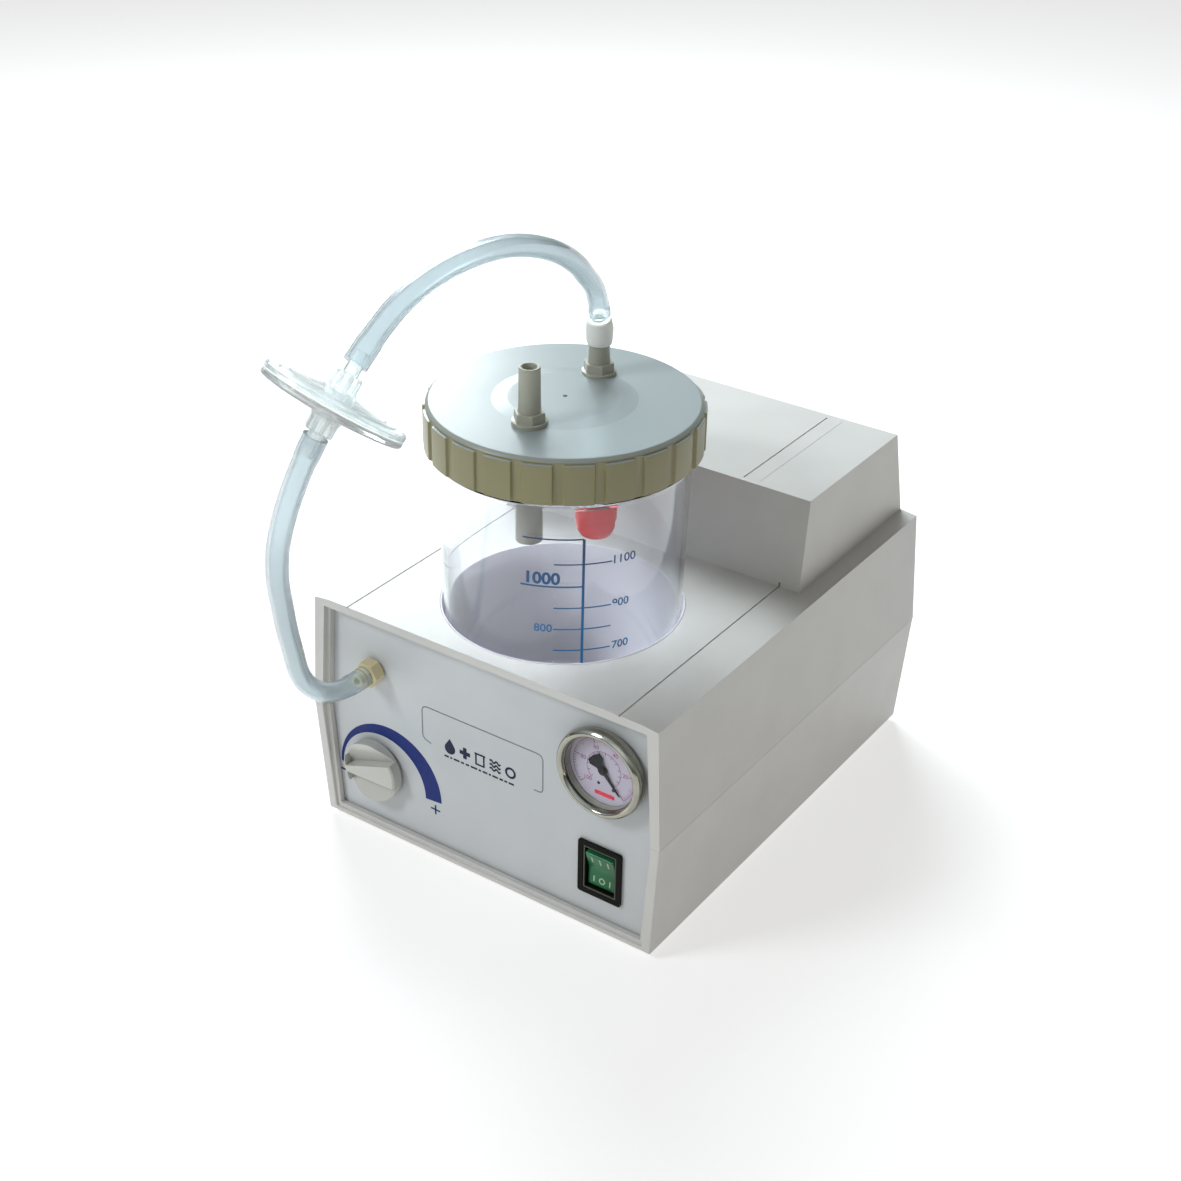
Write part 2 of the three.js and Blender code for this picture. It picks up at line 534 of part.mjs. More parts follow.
// ---------------------------------------------------------------- vacuum regulator
const regulator = new THREE.Group();
regulator.position.set(KNOB.x, PANEL_Y, KNOB.z);
regulator.rotation.x = Math.PI / 2;
pump.add(regulator);
const SPINDLE_TOP = 5.6;
const KNOB_REST = 191;           // degrees: pointer towards the minus end of the scale
const GRIP = [2, 7.2];           // half width of the grip at its pointed and its broad end
const SCOOP_DEPTH = 5;
// low round knob: two scoops slope down to the walls of a wedge-shaped grip
function knob() {
  const { r, h } = KNOB;
  const base = turned([[0, 1.2], [r, 1.2], [r, h - 0.8], [r - 0.8, h], [0, h]], 32);
  const scoops = [-1, 1].map((side) => {
    const out = r * 1.3;
    const [point, broad] = GRIP.map((half) => half * side);
    const rim = out * side;
    const low = h - SCOOP_DEPTH;
    const high = h + 1;
    const g = new THREE.BufferGeometry();
    g.setAttribute('position', new THREE.BufferAttribute(new Float32Array([
      r - 1.6, point, low, -out, broad * 1.1, low, -out, rim, high, r - 1.6, rim, high,
      r - 1.6, point * 0.8, high, -out, broad, high,
    ]), 3));
    g.setIndex([0, 1, 2, 0, 2, 3, 0, 4, 5, 0, 5, 1, 4, 3, 2, 4, 2, 5, 0, 3, 4, 1, 5, 2]);
    return g;
  });
  return cut(base, ...scoops, disc(3.1, 0, SPINDLE_TOP + GAP, 14)).rotateZ(rad(KNOB_REST));
}
add('regulator_knob', knob(), LOOK.greyPlastic, [0, 0, 0], regulator);
add('regulator_spindle', turned([[0, -12], [2.2, -12], [2.9, -10], [2.9, SPINDLE_TOP],
  [0, SPINDLE_TOP]], 14),
  LOOK.brass, [0, 0, 0], regulator);
add('regulator_body', join(
  ring(3.1, 5.1, -10, -0.2, 16),
  cut(turned([[0, -26], [9.5, -26], [9.5, -PANEL_T - GAP - 4.2], [0, -PANEL_T - GAP - 4.2]], 20),
    disc(3.1, -13, 0, 14)),
  box([-16, 0], [-3, 3], [-20.5, -14.5]),
  box([-3, 3], [0, 14], [-20.5, -14.5]),
), LOOK.brass, [0, 0, 0], regulator);

// ---------------------------------------------------------------- power inlet at the rear
const inlet = new THREE.Group();
inlet.position.set(INLET.x, REAR_PANEL_Y, INLET.z);
inlet.rotation.x = -Math.PI / 2; // local +Z points to the rear, local +Y points down
pump.add(inlet);
const pins = [[-7, 3], [7, 3], [0, 7]].map(([x, y]) => box([x - 1, x + 1], [y - 2, y + 2], [-28, -6]));
add('power_inlet', join(cut(
  join(block(INLET.w + 4, INLET.h + 4, [GAP, 2]), block(INLET.w, INLET.h, [-22, 1])),
  box([-12, 12], [-4, 14], [-16, 3]),
  box([-12, 12], [-19.6, -7], [-18, 3]),
), ...pins), LOOK.black, [0, 0, 0], inlet);
add('fuse_drawer', cut(
  join(box([-11.7, 11.7], [-19.2, -7.4], [0.6, 2.6]), box([-10, 10], [-18.4, -8.2], [-16, 1])),
  box([-8, -1], [-16.4, -10.2], [-14.5, -0.6]),
  box([1, 8], [-16.4, -10.2], [-14.5, -0.6]),
  box([-8, 8], [-19.5, -10.2], [-14.5, -0.6]),
), LOOK.black, [0, 0, 0], inlet);

// ---------------------------------------------------------------- compressor
const MOUNT_Z = 14;              // top of the vibration mounts
const PLATE_T = 2;
const MOUNT_XY = [[-46, 26], [66, 26], [-46, 82], [66, 82]];
MOUNT_XY.forEach(([x, y], i) => {
  const mount = turned([[0, FOOT_H + WALL + GAP], [7, FOOT_H + WALL + GAP], [5.6, 10], [7, MOUNT_Z],
    [0, MOUNT_Z]], 16);
  add(`vibration_mount_${i + 1}`, mount, LOOK.rubber, [x, y, 0]);
});
const plateZ = MOUNT_Z + GAP;
add('pump_plate', box([-56, 76], [SHAFT.y - 36, SHAFT.y + 36], [plateZ, plateZ + PLATE_T]), LOOK.steel);

const STATOR = { x: [2, 52], half: 30 };
const ROTOR_R = 14;
const SHAFT_R = 2.9;
const core = box(STATOR.x, [SHAFT.y - STATOR.half, SHAFT.y + STATOR.half],
  [plateZ + PLATE_T + GAP, SHAFT.z + 30]);
const windings = at(alongX(disc(25, -6, 60, 24)), 0, SHAFT.y, SHAFT.z);
const statorBore = at(alongX(disc(ROTOR_R + 0.8, -10, 70, 28)), 0, SHAFT.y, SHAFT.z);
add('motor_stator', cut(join(core, windings), statorBore), LOOK.iron);

// end brackets carry the bearings
const BEARING_R = 8;
const bracket = (x0, x1) => cut(
  box([x0, x1], [SHAFT.y - 28, SHAFT.y + 28], [plateZ + PLATE_T + GAP, SHAFT.z + 28]),
  at(alongX(disc(BEARING_R + GAP, 0, 30, 20)), x0 - 5, SHAFT.y, SHAFT.z),
);
add('motor_bracket_1', bracket(-11, -7), LOOK.aluminium);
add('motor_bracket_2', bracket(61, 65), LOOK.aluminium);
const bearing = (x0) => at(alongX(ring(3.2, BEARING_R, 0, 4, 20)), x0, SHAFT.y, SHAFT.z);
add('motor_bearing_1', bearing(-11), LOOK.steel);
add('motor_bearing_2', bearing(61), LOOK.steel);

// rotor with its shaft, cooling fan and crank turn as one
add('rotor', join(
  at(alongX(disc(ROTOR_R, 0, 48, 24)), 3, SHAFT.y, SHAFT.z),
  at(alongX(disc(SHAFT_R, 0, 104, 12)), -27, SHAFT.y, SHAFT.z),
), LOOK.steel);
const blades = [];
for (let i = 0; i < 6; i += 1) {
  const blade = box([-4, 4], [5, 26], [-0.7, 0.7]).rotateY(rad(24));
  blades.push(blade.rotateX(rad(i * 60)));
}
add('cooling_fan', at(join(alongX(ring(3.2, 7, -5, 5, 16)), ...blades), 72, SHAFT.y, SHAFT.z), LOOK.black);
add('crank', cut(
  join(
    at(alongX(disc(8, 0, 7, 20)), -20.5, SHAFT.y, SHAFT.z),
    at(alongX(disc(4, 0, 10, 16)), -35, SHAFT.y, SHAFT.z + THROW),
    at(alongX(disc(9, 0, 4.5, 20)), -25, SHAFT.y, SHAFT.z),
    box([-20.5, -13.8], [SHAFT.y - 11, SHAFT.y + 11], [SHAFT.z - 16, SHAFT.z - 4]),
  ),
  at(alongX(disc(SHAFT_R + GAP, 0, 20, 12)), -28, SHAFT.y, SHAFT.z),
), LOOK.steel);
add('crank_bearing', at(alongX(ring(4 + GAP, 7, 0, 5, 20)), -33.5, SHAFT.y, SHAFT.z + THROW), LOOK.steel);

// the piston's yoke clears the crank at every angle and every piston position
const CYL_Z = [100, 128];
const YOKE_Z = [SHAFT.z + THROW - 14, SHAFT.z + THROW + 14];
const PISTON_Z = 118;            // crown at the top of the stroke
add('piston_rod', join(
  cut(
    box([-34.5, -27.5], [SHAFT.y - 15.5, SHAFT.y + 15.5], [YOKE_Z[0] - 4, YOKE_Z[1] + 4]),
    box([-36, -26], [SHAFT.y - 11.5, SHAFT.y + 11.5], YOKE_Z),
  ),
  box([-33.5, -28.5], [SHAFT.y - 4, SHAFT.y + 4], [YOKE_Z[1] + 2, PISTON_Z - 3]),
  at(disc(15, PISTON_Z - 4, PISTON_Z, 28), CYL_X - 1, SHAFT.y, 0),
), LOOK.aluminium);
add('piston_seal', at(ring(6, 16.6, PISTON_Z + GAP, PISTON_Z + 2, 28), CYL_X - 1, SHAFT.y, 0), LOOK.rubber);
add('cylinder', at(ring(17, 21, CYL_Z[0], CYL_Z[1], 28), CYL_X - 1, SHAFT.y, 0), LOOK.aluminium);

// the crankcase is an open frame that carries the cylinder
add('crankcase', cut(
  join(
    box([-56, -50], [SHAFT.y - 30, SHAFT.y + 30], [plateZ + PLATE_T + GAP, CYL_Z[0] - GAP]),
    box([-56, -12], [SHAFT.y - 30, SHAFT.y + 30], [CYL_Z[0] - 5, CYL_Z[0] - GAP]),
  ),
  at(disc(17, 60, 110, 28), CYL_X - 1, SHAFT.y, 0),
), LOOK.aluminium);

// finned head with its valve seats and two hose barbs
const HEAD_Z = CYL_Z[1] + GAP;
const HEAD_TOP = HEAD_Z + 24;
const headY = [SHAFT.y - 24, SHAFT.y + 24];
const PORT_DX = 9.5;             // the two chambers, either side of the cylinder axis
const fins = [];
for (let i = 0; i < 6; i += 1) {
  fins.push(box([-54 + i * 8.8, -51.5 + i * 8.8], headY, [HEAD_TOP - 9, HEAD_TOP]));
}
const barb = turned([[0, -4], [3.4, -4], [3.4, 3], [2.4, 4], [3, 8], [2.4, 9], [2.4, 12], [0, 12]], 12);
const barbSide = at(barb.clone().rotateY(-Math.PI / 2), -55, SHAFT.y, HEAD_Z + 8);
const barbRear = at(alongRear(barb.clone()), CYL_X + PORT_DX, headY[1], HEAD_Z + 8);
const seats = [-PORT_DX, PORT_DX].map((dx) => at(disc(2, HEAD_Z - 1, HEAD_Z + 5, 10), CYL_X - 1 + dx,
  SHAFT.y, 0));
add('cylinder_head', cut(
  join(box([-55, -7], headY, [HEAD_Z, HEAD_TOP - 8]), ...fins, barbSide, barbRear),
  box([-50, -33], [SHAFT.y - 16, SHAFT.y + 16], [HEAD_Z + 3, HEAD_Z + 12]),
  box([-29, -12], [SHAFT.y - 16, SHAFT.y + 16], [HEAD_Z + 3, HEAD_Z + 12]),
  ...seats,
  at(disc(1.4, -14, 20, 8).rotateY(-Math.PI / 2), -55, SHAFT.y, HEAD_Z + 8),
  at(alongRear(disc(1.4, -14, 20, 8)), CYL_X + PORT_DX, headY[1], HEAD_Z + 8),
), LOOK.aluminium);

// ---------------------------------------------------------------- internal air lines
const LINE_Y = PANEL_Y + 17.5;   // centre of the regulator's ports
add('pump_suction_tube', hose([
  [-67.8, SHAFT.y, HEAD_Z + 8], [-72, SHAFT.y, HEAD_Z + 7.6], [-75.5, 49, 126], [-77, 42, 112],
  [-82, 28, 90], [-87, 8, 66], [-89.5, -20, 47], [-90, -50, 41], [-90.5, -80, KNOB.z],
  [-89, -93, KNOB.z], [-85.5, LINE_Y, KNOB.z], [KNOB.x - 16.4, LINE_Y, KNOB.z],
], 6, 32, 8), LOOK.silicone);
add('nozzle_tube', hose([
  [NOZZLE.x, PANEL_Y + 16.4, NOZZLE.z], [-66, -96, NOZZLE.z - 0.4], [-65.9, -93, 89],
  [-65.6, -93.5, 78],
  [-66.2, -97, 68], [KNOB.x, LINE_Y, 61], [KNOB.x, LINE_Y, KNOB.z + 14.4],
], 5, 20, 8), LOOK.silicone);
add('exhaust_silencer', alongRear(turned([[2, 0], [9, 0], [10, 2], [10, 26], [6, 28], [6, 36],
  [2, 36], [2, 0]], 20)), LOOK.black, [EXHAUST.x, REAR_PANEL_Y - 32, EXHAUST.z]);

export default pump;
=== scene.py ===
"""Looks of the portable suction pump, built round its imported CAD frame.

Shapes are written in millimetres in the CAD part's own axes and turned into metres when each
mesh is made. SHIFT_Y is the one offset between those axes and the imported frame.
"""
from math import copysign, cos, pi, radians, sin, tan

import bmesh
import bpy
from mathutils import Matrix, Vector


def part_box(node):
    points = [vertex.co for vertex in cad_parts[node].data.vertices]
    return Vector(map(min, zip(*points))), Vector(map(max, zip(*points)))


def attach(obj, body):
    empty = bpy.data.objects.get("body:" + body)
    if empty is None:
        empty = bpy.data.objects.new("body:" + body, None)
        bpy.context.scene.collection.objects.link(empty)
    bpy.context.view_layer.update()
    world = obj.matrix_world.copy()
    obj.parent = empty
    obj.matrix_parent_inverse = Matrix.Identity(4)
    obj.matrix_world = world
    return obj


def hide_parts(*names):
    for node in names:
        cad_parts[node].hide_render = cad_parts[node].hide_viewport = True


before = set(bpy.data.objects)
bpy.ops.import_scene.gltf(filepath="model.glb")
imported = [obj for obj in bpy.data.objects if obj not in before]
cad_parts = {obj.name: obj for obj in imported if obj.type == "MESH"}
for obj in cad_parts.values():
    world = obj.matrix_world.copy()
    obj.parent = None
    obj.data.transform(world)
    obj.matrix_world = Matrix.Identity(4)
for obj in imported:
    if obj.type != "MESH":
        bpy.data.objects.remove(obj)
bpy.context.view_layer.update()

MM = 0.001
SHIFT_Y = 3.1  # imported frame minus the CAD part's own y
TAU = 2 * pi


def corners(node):
    """Lowest and highest corner of a CAD node, in millimetres in the part's own axes."""
    low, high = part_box(node)
    shift = Vector((0, SHIFT_Y, 0))
    return low / MM - shift, high / MM - shift


def middle(box):
    return [(low + high) / 2 for low, high in zip(*box)]


# ------------------------------------------------------------------ driving dimensions
LOW_SHELL = corners("lower_shell")
TOP_SHELL = corners("upper_shell")
JAR_BOX = corners("jar")
LID_BOX = corners("jar_lid")
BEZEL_BOX = corners("gauge_bezel")
FOOT_H = LOW_SHELL[0].z
PART_Z = (LOW_SHELL[1].z + TOP_SHELL[0].z) / 2
TOP_Z = corners("jar_well")[1].z
BOX_TOP_Z = TOP_SHELL[1].z
PART_HALF_X = TOP_SHELL[1].x
TOP_HALF_X = 97
BASE_HALF_X = 96.5
TOP_Y = (-121.75, 121.75)
PART_Y = (TOP_SHELL[0].y, TOP_SHELL[1].y)
BASE_Y = (-120.9, 122.6)
SHOULDER_X = 88
SHOULDER_DROP = 1.2
PANEL_Y = corners("front_panel")[0].y
REAR_Y = corners("rear_panel")[1].y
JAR_X, JAR_Y, _ = middle(JAR_BOX)
JAR_FOOT_Z = JAR_BOX[0].z
JAR_RIM_Z = JAR_BOX[1].z
WELL_R = 57
LID_R = (LID_BOX[1].x - LID_BOX[0].x) / 2
SKIRT_Z = LID_BOX[0].z
LID_Z = 231.9
LID_RIBS = 22
PORT_R = 31
PORT_TURN = radians(-84.5)
PATIENT = (JAR_X + PORT_R * cos(PORT_TURN), JAR_Y + PORT_R * sin(PORT_TURN))
VACUUM = (2 * JAR_X - PATIENT[0], 2 * JAR_Y - PATIENT[1])
GAUGE_X, _, GAUGE_Z = middle(BEZEL_BOX)
GAUGE_R = (BEZEL_BOX[1].x - BEZEL_BOX[0].x) / 2
SWITCH_BOX = corners("switch_frame")
SWITCH_X, _, SWITCH_Z = middle(SWITCH_BOX)
KNOB = (-66.7, 37.8)
NOZZLE = (-66, 94.5)
HOSE_D = 9.6
BORE_D = 6.4

# The hoses' routes: from the panel nozzle to the lower filter neck, and from the upper
# neck over to the cuff on the lid.
LOWER_ROUTE = [
    (-66, -131, 94.5), (-66, -139.3, 95.4), (-66, -147.3, 98), (-66, -154.5, 102.1),
    (-65.8, -160.6, 107.6), (-64.8, -166.2, 114.6), (-62, -172.4, 124.6), (-55.2, -181.8, 141.5),
    (-46, -194, 162.5), (-36.5, -205.5, 183.5), (-27.5, -216, 204), (-19.5, -222.5, 224),
    (-12.3, -223.8, 243.5), (-6, -220.3, 262.5), (-2.5, -215.5, 274.2),
]
UPPER_ROUTE = [
    (4, -198.6, 299.6), (5.5, -189.2, 308), (6.8, -176.5, 316.2), (8.4, -161, 322),
    (9.8, -144, 324.7), (10.6, -126, 324.3), (10.4, -107, 320.8), (9.3, -88, 314.2),
    (7.4, -70, 305.4), (4.9, -55, 295.6), (2.6, -45.6, 287.9), (0.4, -37.4, 281.1),
    (-1.1, -31.8, 275.3), (-2.2, -27.8, 268.7), (-2.7, -26.1, 265), (-2.97, -24.9, 261.2),
]
NOZZLE_START = (-66, -124.2, 94.5)  # where the lower hose stops against the nozzle's collar
FILTER_AT = Vector((1.1, -208.4, 286.2))
FILTER_AXIS = Vector((0.2, 0.562, 0.803)).normalized()


# ------------------------------------------------------------------ material helpers
def wire(tree, node, values=(), links=()):
    """Sets numbers on a node's named inputs, and links the outputs of others to them."""
    for key, value in dict(values).items():
        node.inputs[key].default_value = value
    for key, source in dict(links).items():
        tree.links.new(source, node.inputs[key])
    return node


def add(tree, kind, values=(), links=()):
    return wire(tree, tree.nodes.new(kind), values, links)


def new_material(name):
    m = bpy.data.materials.new(name)
    m.use_nodes = True
    return m, m.node_tree, m.node_tree.nodes["Principled BSDF"]


def object_coords(tree):
    return add(tree, "ShaderNodeTexCoord").outputs["Object"]


def noise(tree, scale, detail=3.0, roughness=0.5, vector=None):
    return add(tree, "ShaderNodeTexNoise", {"Scale": scale, "Detail": detail, "Roughness": roughness},
               {"Vector": vector or object_coords(tree)}).outputs["Fac"]


def ramp(tree, value, low, high, at=(0.0, 1.0)):
    r = add(tree, "ShaderNodeValToRGB", links={"Fac": value})
    for element, place, color in zip(r.color_ramp.elements, at, (low, high)):
        element.position = place
        element.color = (*color, 1)
    return r.outputs["Color"]


def spread(tree, value, low, high):
    scaled = add(tree, "ShaderNodeMapRange", {"To Min": low, "To Max": high}, {"Value": value})
    return scaled.outputs["Result"]


def bump(tree, height, strength, distance):
    relief = add(tree, "ShaderNodeBump", {"Strength": strength, "Distance": distance}, {"Height": height})
    return relief.outputs["Normal"]


def shade(color, factor):
    return tuple(min(1.0, c * factor) for c in color)


def cloudy(tree, scale, detail, color, vary):
    """Colour that drifts a little darker and lighter over the surface."""
    cloud = noise(tree, scale, detail)
    return ramp(tree, cloud, shade(color, 1 - vary), shade(color, 1 + vary), (0.3, 0.7))


def plastic(name, color, rough=0.42, grain=2600, depth=0.03, vary=0.03, specular=0.5):
    """Moulded plastic: a fine spark-eroded grain, faint cloudy colour and uneven gloss."""
    m, tree, bsdf = new_material(name)
    wire(tree, bsdf, {"Specular IOR Level": specular}, {
        "Base Color": cloudy(tree, 34, 4, color, vary),
        "Roughness": spread(tree, noise(tree, 130, 2), rough - 0.02, rough + 0.03),
        "Normal": bump(tree, noise(tree, grain, 2, 0.6), depth * 10, 0.00006),
    })
    return m


def metal(name, color, rough=0.3, streak=0.08, scale=(1, 1, 1), grain=900):
    """Bare metal with fine machining streaks along one axis."""
    m, tree, bsdf = new_material(name)
    stretch = add(tree, "ShaderNodeMapping", {"Scale": scale}, {"Vector": object_coords(tree)})
    lines = noise(tree, grain, vector=stretch.outputs["Vector"])
    wire(tree, bsdf, {"Metallic": 1}, {
        "Base Color": ramp(tree, lines, shade(color, 0.86), color, (0.3, 0.7)),
        "Roughness": spread(tree, lines, max(0.02, rough - streak), rough + streak),
        "Normal": bump(tree, lines, 0.15, 0.00005),
    })
    return m


def clear(name, face, edge, rough, ior, tint, wave=0.0, transmission=1.0, specular=0.5):
    """Clear plastic whose walls look deeper in colour where they are seen edge-on.

    Rays from lamps pass straight through, so that what it covers stays lit.
    """
    m, tree, bsdf = new_material(name)
    slant = add(tree, "ShaderNodeLayerWeight", {"Blend": 0.4})
    wire(tree, bsdf, {"Transmission Weight": transmission, "IOR": ior, "Specular IOR Level": specular}, {
        "Base Color": ramp(tree, slant.outputs["Facing"], face, edge, (0.25, 0.95)),
        "Roughness": spread(tree, noise(tree, 60), rough * 0.6, rough * 1.5),
    })
    if wave:
        wire(tree, bsdf, links={"Normal": bump(tree, noise(tree, 45, 2), wave, 0.0004)})
    through = add(tree, "ShaderNodeBsdfTransparent", {"Color": (*tint, 1)})
    mix = add(tree, "ShaderNodeMixShader", links={
        "Fac": add(tree, "ShaderNodeLightPath").outputs["Is Shadow Ray"],
        1: bsdf.outputs["BSDF"],
        2: through.outputs["BSDF"],
    })
    wire(tree, tree.nodes["Material Output"], links={"Surface": mix.outputs["Shader"]})
    return m


def rubber(name, color):
    m, tree, bsdf = new_material(name)
    wire(tree, bsdf, links={
        "Base Color": ramp(tree, noise(tree, 180, 5), shade(color, 0.7), shade(color, 1.5)),
        "Roughness": spread(tree, noise(tree, 500, 2), 0.7, 0.9),
        "Normal": bump(tree, noise(tree, 1500), 0.3, 0.00008),
    })
    return m


def ink(name, color, rough=0.45):
    """Screen-printed ink, slightly uneven in density."""
    m, tree, bsdf = new_material(name)
    wire(tree, bsdf, {"Specular IOR Level": 0.2}, {
        "Base Color": cloudy(tree, 700, 3, color, 0.15),
        "Roughness": spread(tree, noise(tree, 900, 2), rough - 0.08, rough + 0.08),
    })
    return m


def jar_ink():
    """Blue print on the jar: navy near the lid, brighter blue lower down."""
    m, tree, bsdf = new_material("jar_print_ink")
    split = add(tree, "ShaderNodeSeparateXYZ", links={"Vector": object_coords(tree)})
    navy_from = 186
    height = add(tree, "ShaderNodeMapRange", {"From Min": TOP_Z * MM, "From Max": navy_from * MM},
                 {"Value": split.outputs["Z"]})
    blue, navy = (0.012, 0.20, 0.52), (0.012, 0.045, 0.13)
    wire(tree, bsdf, {"Roughness": 0.4}, {"Base Color": ramp(tree, height.outputs["Result"], blue, navy)})
    return m


def lid_plastic():
    """Cream plastic of the lid, with painted light: olive painted on its upright skirt as warm shade, and grey
    painted on its top as a cool sky sheen.
    """
    m = plastic("lid_cream", (0.33, 0.31, 0.20), rough=0.30, grain=1800, depth=0.008)
    tree = m.node_tree
    facing = add(tree, "ShaderNodeTexCoord").outputs["Normal"]
    split = add(tree, "ShaderNodeSeparateXYZ", links={"Vector": facing})
    # painted light: the colour follows which way the surface faces, olive as shade on the skirt and grey as sky
    # sheen on the top, with a faint noise drift
    painted_light_by_facing = add(tree, "ShaderNodeMath", {1: 0.05}, {0: noise(tree, 26, 4), 2: split.outputs["Z"]})
    painted_light_by_facing.operation = "MULTIPLY_ADD"
    olive, grey = (0.228, 0.211, 0.107), (0.285, 0.322, 0.328)
    wire(tree, tree.nodes["Principled BSDF"], links={
        "Base Color": ramp(tree, painted_light_by_facing.outputs["Value"], olive, grey, (0.30, 1.0))})
    return m


def well_plastic():
    """Thin white plastic of the well, with a faint painted glow that lifts the shade inside it."""
    m = plastic("well_abs", (0.625, 0.61, 0.645), rough=0.5, depth=0.015)
    # painted glow: a faint emission that brightens the shaded inside of the well
    wire(m.node_tree, m.node_tree.nodes["Principled BSDF"],
         {"Emission Color": (0.76, 0.75, 0.82, 1), "Emission Strength": 0.10})
    return m


LOOK = {
    "housing": plastic("housing_abs", (0.552, 0.543, 0.522)),
    "panel": plastic("panel_abs", (0.50, 0.52, 0.535), rough=0.46, grain=2200, depth=0.02),
    "well": well_plastic(),
    "lid": lid_plastic(),
    "port": plastic("port_cream", (0.36, 0.36, 0.295), rough=0.3, grain=1800, depth=0.010),
    "ivory": plastic("nozzle_ivory", (0.62, 0.54, 0.32), rough=0.33, depth=0.01),
    "cuff": plastic("cuff_white", (0.82, 0.83, 0.79), rough=0.38, depth=0.01),
    "grey": plastic("tube_grey", (0.24, 0.23, 0.19), rough=0.3, depth=0.01, specular=0.6),
    "knob": plastic("knob_silver_cream", (0.47, 0.47, 0.435), rough=0.24, depth=0.01, specular=0.9),
    "black": plastic("black_plastic", (0.005, 0.005, 0.004), rough=0.30, depth=0.02, vary=0.2,
                     specular=0.07),
    "olive": plastic("switch_inner", (0.045, 0.044, 0.020), rough=0.35, vary=0.2),
    "red": plastic("float_red", (0.80, 0.004, 0.010), rough=0.2, depth=0.006, specular=0.7),
    "silicone": plastic("silicone", (0.62, 0.62, 0.60), rough=0.55),
    "dial": plastic("dial_white", (0.40, 0.36, 0.43), rough=0.5, depth=0.005, vary=0.015),
    "winding": plastic("winding_lacquer", (0.20, 0.06, 0.02), rough=0.3, vary=0.2),
    "green": plastic("rocker_green", (0.010, 0.125, 0.045), rough=0.2, depth=0.005, vary=0.35,
                     specular=0.35),
    "rubber": rubber("rubber_black", (0.022, 0.022, 0.021)),
    "chrome": metal("gauge_chrome", (0.40, 0.385, 0.33), rough=0.13, streak=0.04, grain=300),
    "steel": metal("zinc_steel", (0.56, 0.57, 0.58), rough=0.34, scale=(1, 8, 8)),
    "aluminium": metal("cast_aluminium", (0.62, 0.63, 0.64), rough=0.45, grain=500),
    "brass": metal("machined_brass", (0.72, 0.52, 0.20), rough=0.28, scale=(1, 1, 12)),
    "jar": clear("jar_polycarbonate", (0.97, 0.98, 1.0), (0.80, 0.83, 0.88), 0.02, 1.45, (0.98, 0.98, 0.99)),
    "hose": clear("hose_pvc", (0.76, 0.82, 0.84), (0.15, 0.17, 0.18), 0.07, 1.40, (0.90, 0.93, 0.94), wave=0.03,
                  transmission=0.80, specular=0.55),
    "filter": clear("filter_styrene", (0.95, 0.97, 0.97), (0.46, 0.50, 0.50), 0.06, 1.40, (0.95, 0.96, 0.96),
                    transmission=0.78, specular=0.4),
    "lens": clear("gauge_window", (1, 1, 1), (0.9, 0.9, 0.9), 0.01, 1.14, (0.96, 0.96, 0.96)),
    "blue_ink": ink("scale_blue_ink", (0.006, 0.020, 0.155)),
    "navy_ink": ink("label_navy_ink", (0.008, 0.012, 0.045)),
    "frame_ink": ink("label_frame_ink", (0.14, 0.18, 0.18)),
    "magenta_ink": ink("dial_magenta_ink", (0.20, 0.03, 0.12)),
    "red_ink": ink("dial_red_ink", (0.60, 0.03, 0.06)),
    "black_ink": ink("needle_black", (0.004, 0.004, 0.005), rough=0.35),
    "mark": ink("rocker_mark", (0.34, 0.50, 0.30)),
    "slot_dark": ink("lid_dot", (0.06, 0.06, 0.055)),
    "jar_ink": jar_ink(),
}


# ------------------------------------------------------------------ mesh helpers
BEVEL_ANGLE = radians(32)
UP = Vector((0, 0, 1))


def placed(name, data):
    obj = bpy.data.objects.new(name, data)
    bpy.context.scene.collection.objects.link(obj)
    return obj


def as_mesh(bm, name):
    """Turns a bmesh into mesh data, and frees it."""
    mesh = bpy.data.meshes.new(name)
    bm.to_mesh(mesh)
    bm.free()
    return mesh


def piece(name, bm, look, body, slot, replaces=(), bevel=0.0, segments=3, smooth=38, sharp_z=None):
    """Turns a bmesh in the part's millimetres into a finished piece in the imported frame.

    Edges that lie at the height sharp_z keep their sharp corner, so that a seam there stays fine.
    """
    bmesh.ops.remove_doubles(bm, verts=bm.verts, dist=1e-4)
    bmesh.ops.recalc_face_normals(bm, faces=bm.faces)
    if sharp_z is not None:
        weight = bm.edges.layers.float.new("bevel_weight_edge")
        for edge in bm.edges:
            level = all(abs(v.co.z - sharp_z) < 0.5 for v in edge.verts)
            steep = len(edge.link_faces) == 2 and edge.calc_face_angle() > BEVEL_ANGLE
            edge[weight] = 1.0 if steep and not level else 0.0
    mesh = as_mesh(bm, name)
    mesh.transform(Matrix.Scale(MM, 4) @ Matrix.Translation((0, SHIFT_Y, 0)))
    mesh.materials.append(LOOK[look])
    mesh.shade_smooth()
    mesh.set_sharp_from_angle(angle=radians(smooth))
    obj = placed(name, mesh)
    if bevel:
        b = obj.modifiers.new("edge", "BEVEL")
        b.width = bevel * MM
        b.segments = segments
        b.limit_method = "ANGLE" if sharp_z is None else "WEIGHT"
        b.angle_limit = BEVEL_ANGLE
        b.miter_outer = "MITER_ARC"
        b.harden_normals = True
    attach(obj, body)
    if replaces:
        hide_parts(*replaces)
    return obj


def skin(node, bm, look, slot, body="root", **how):
    """The piece that stands for a CAD node."""
    return piece(node + "_skin", bm, look, body, slot, (node,), **how)


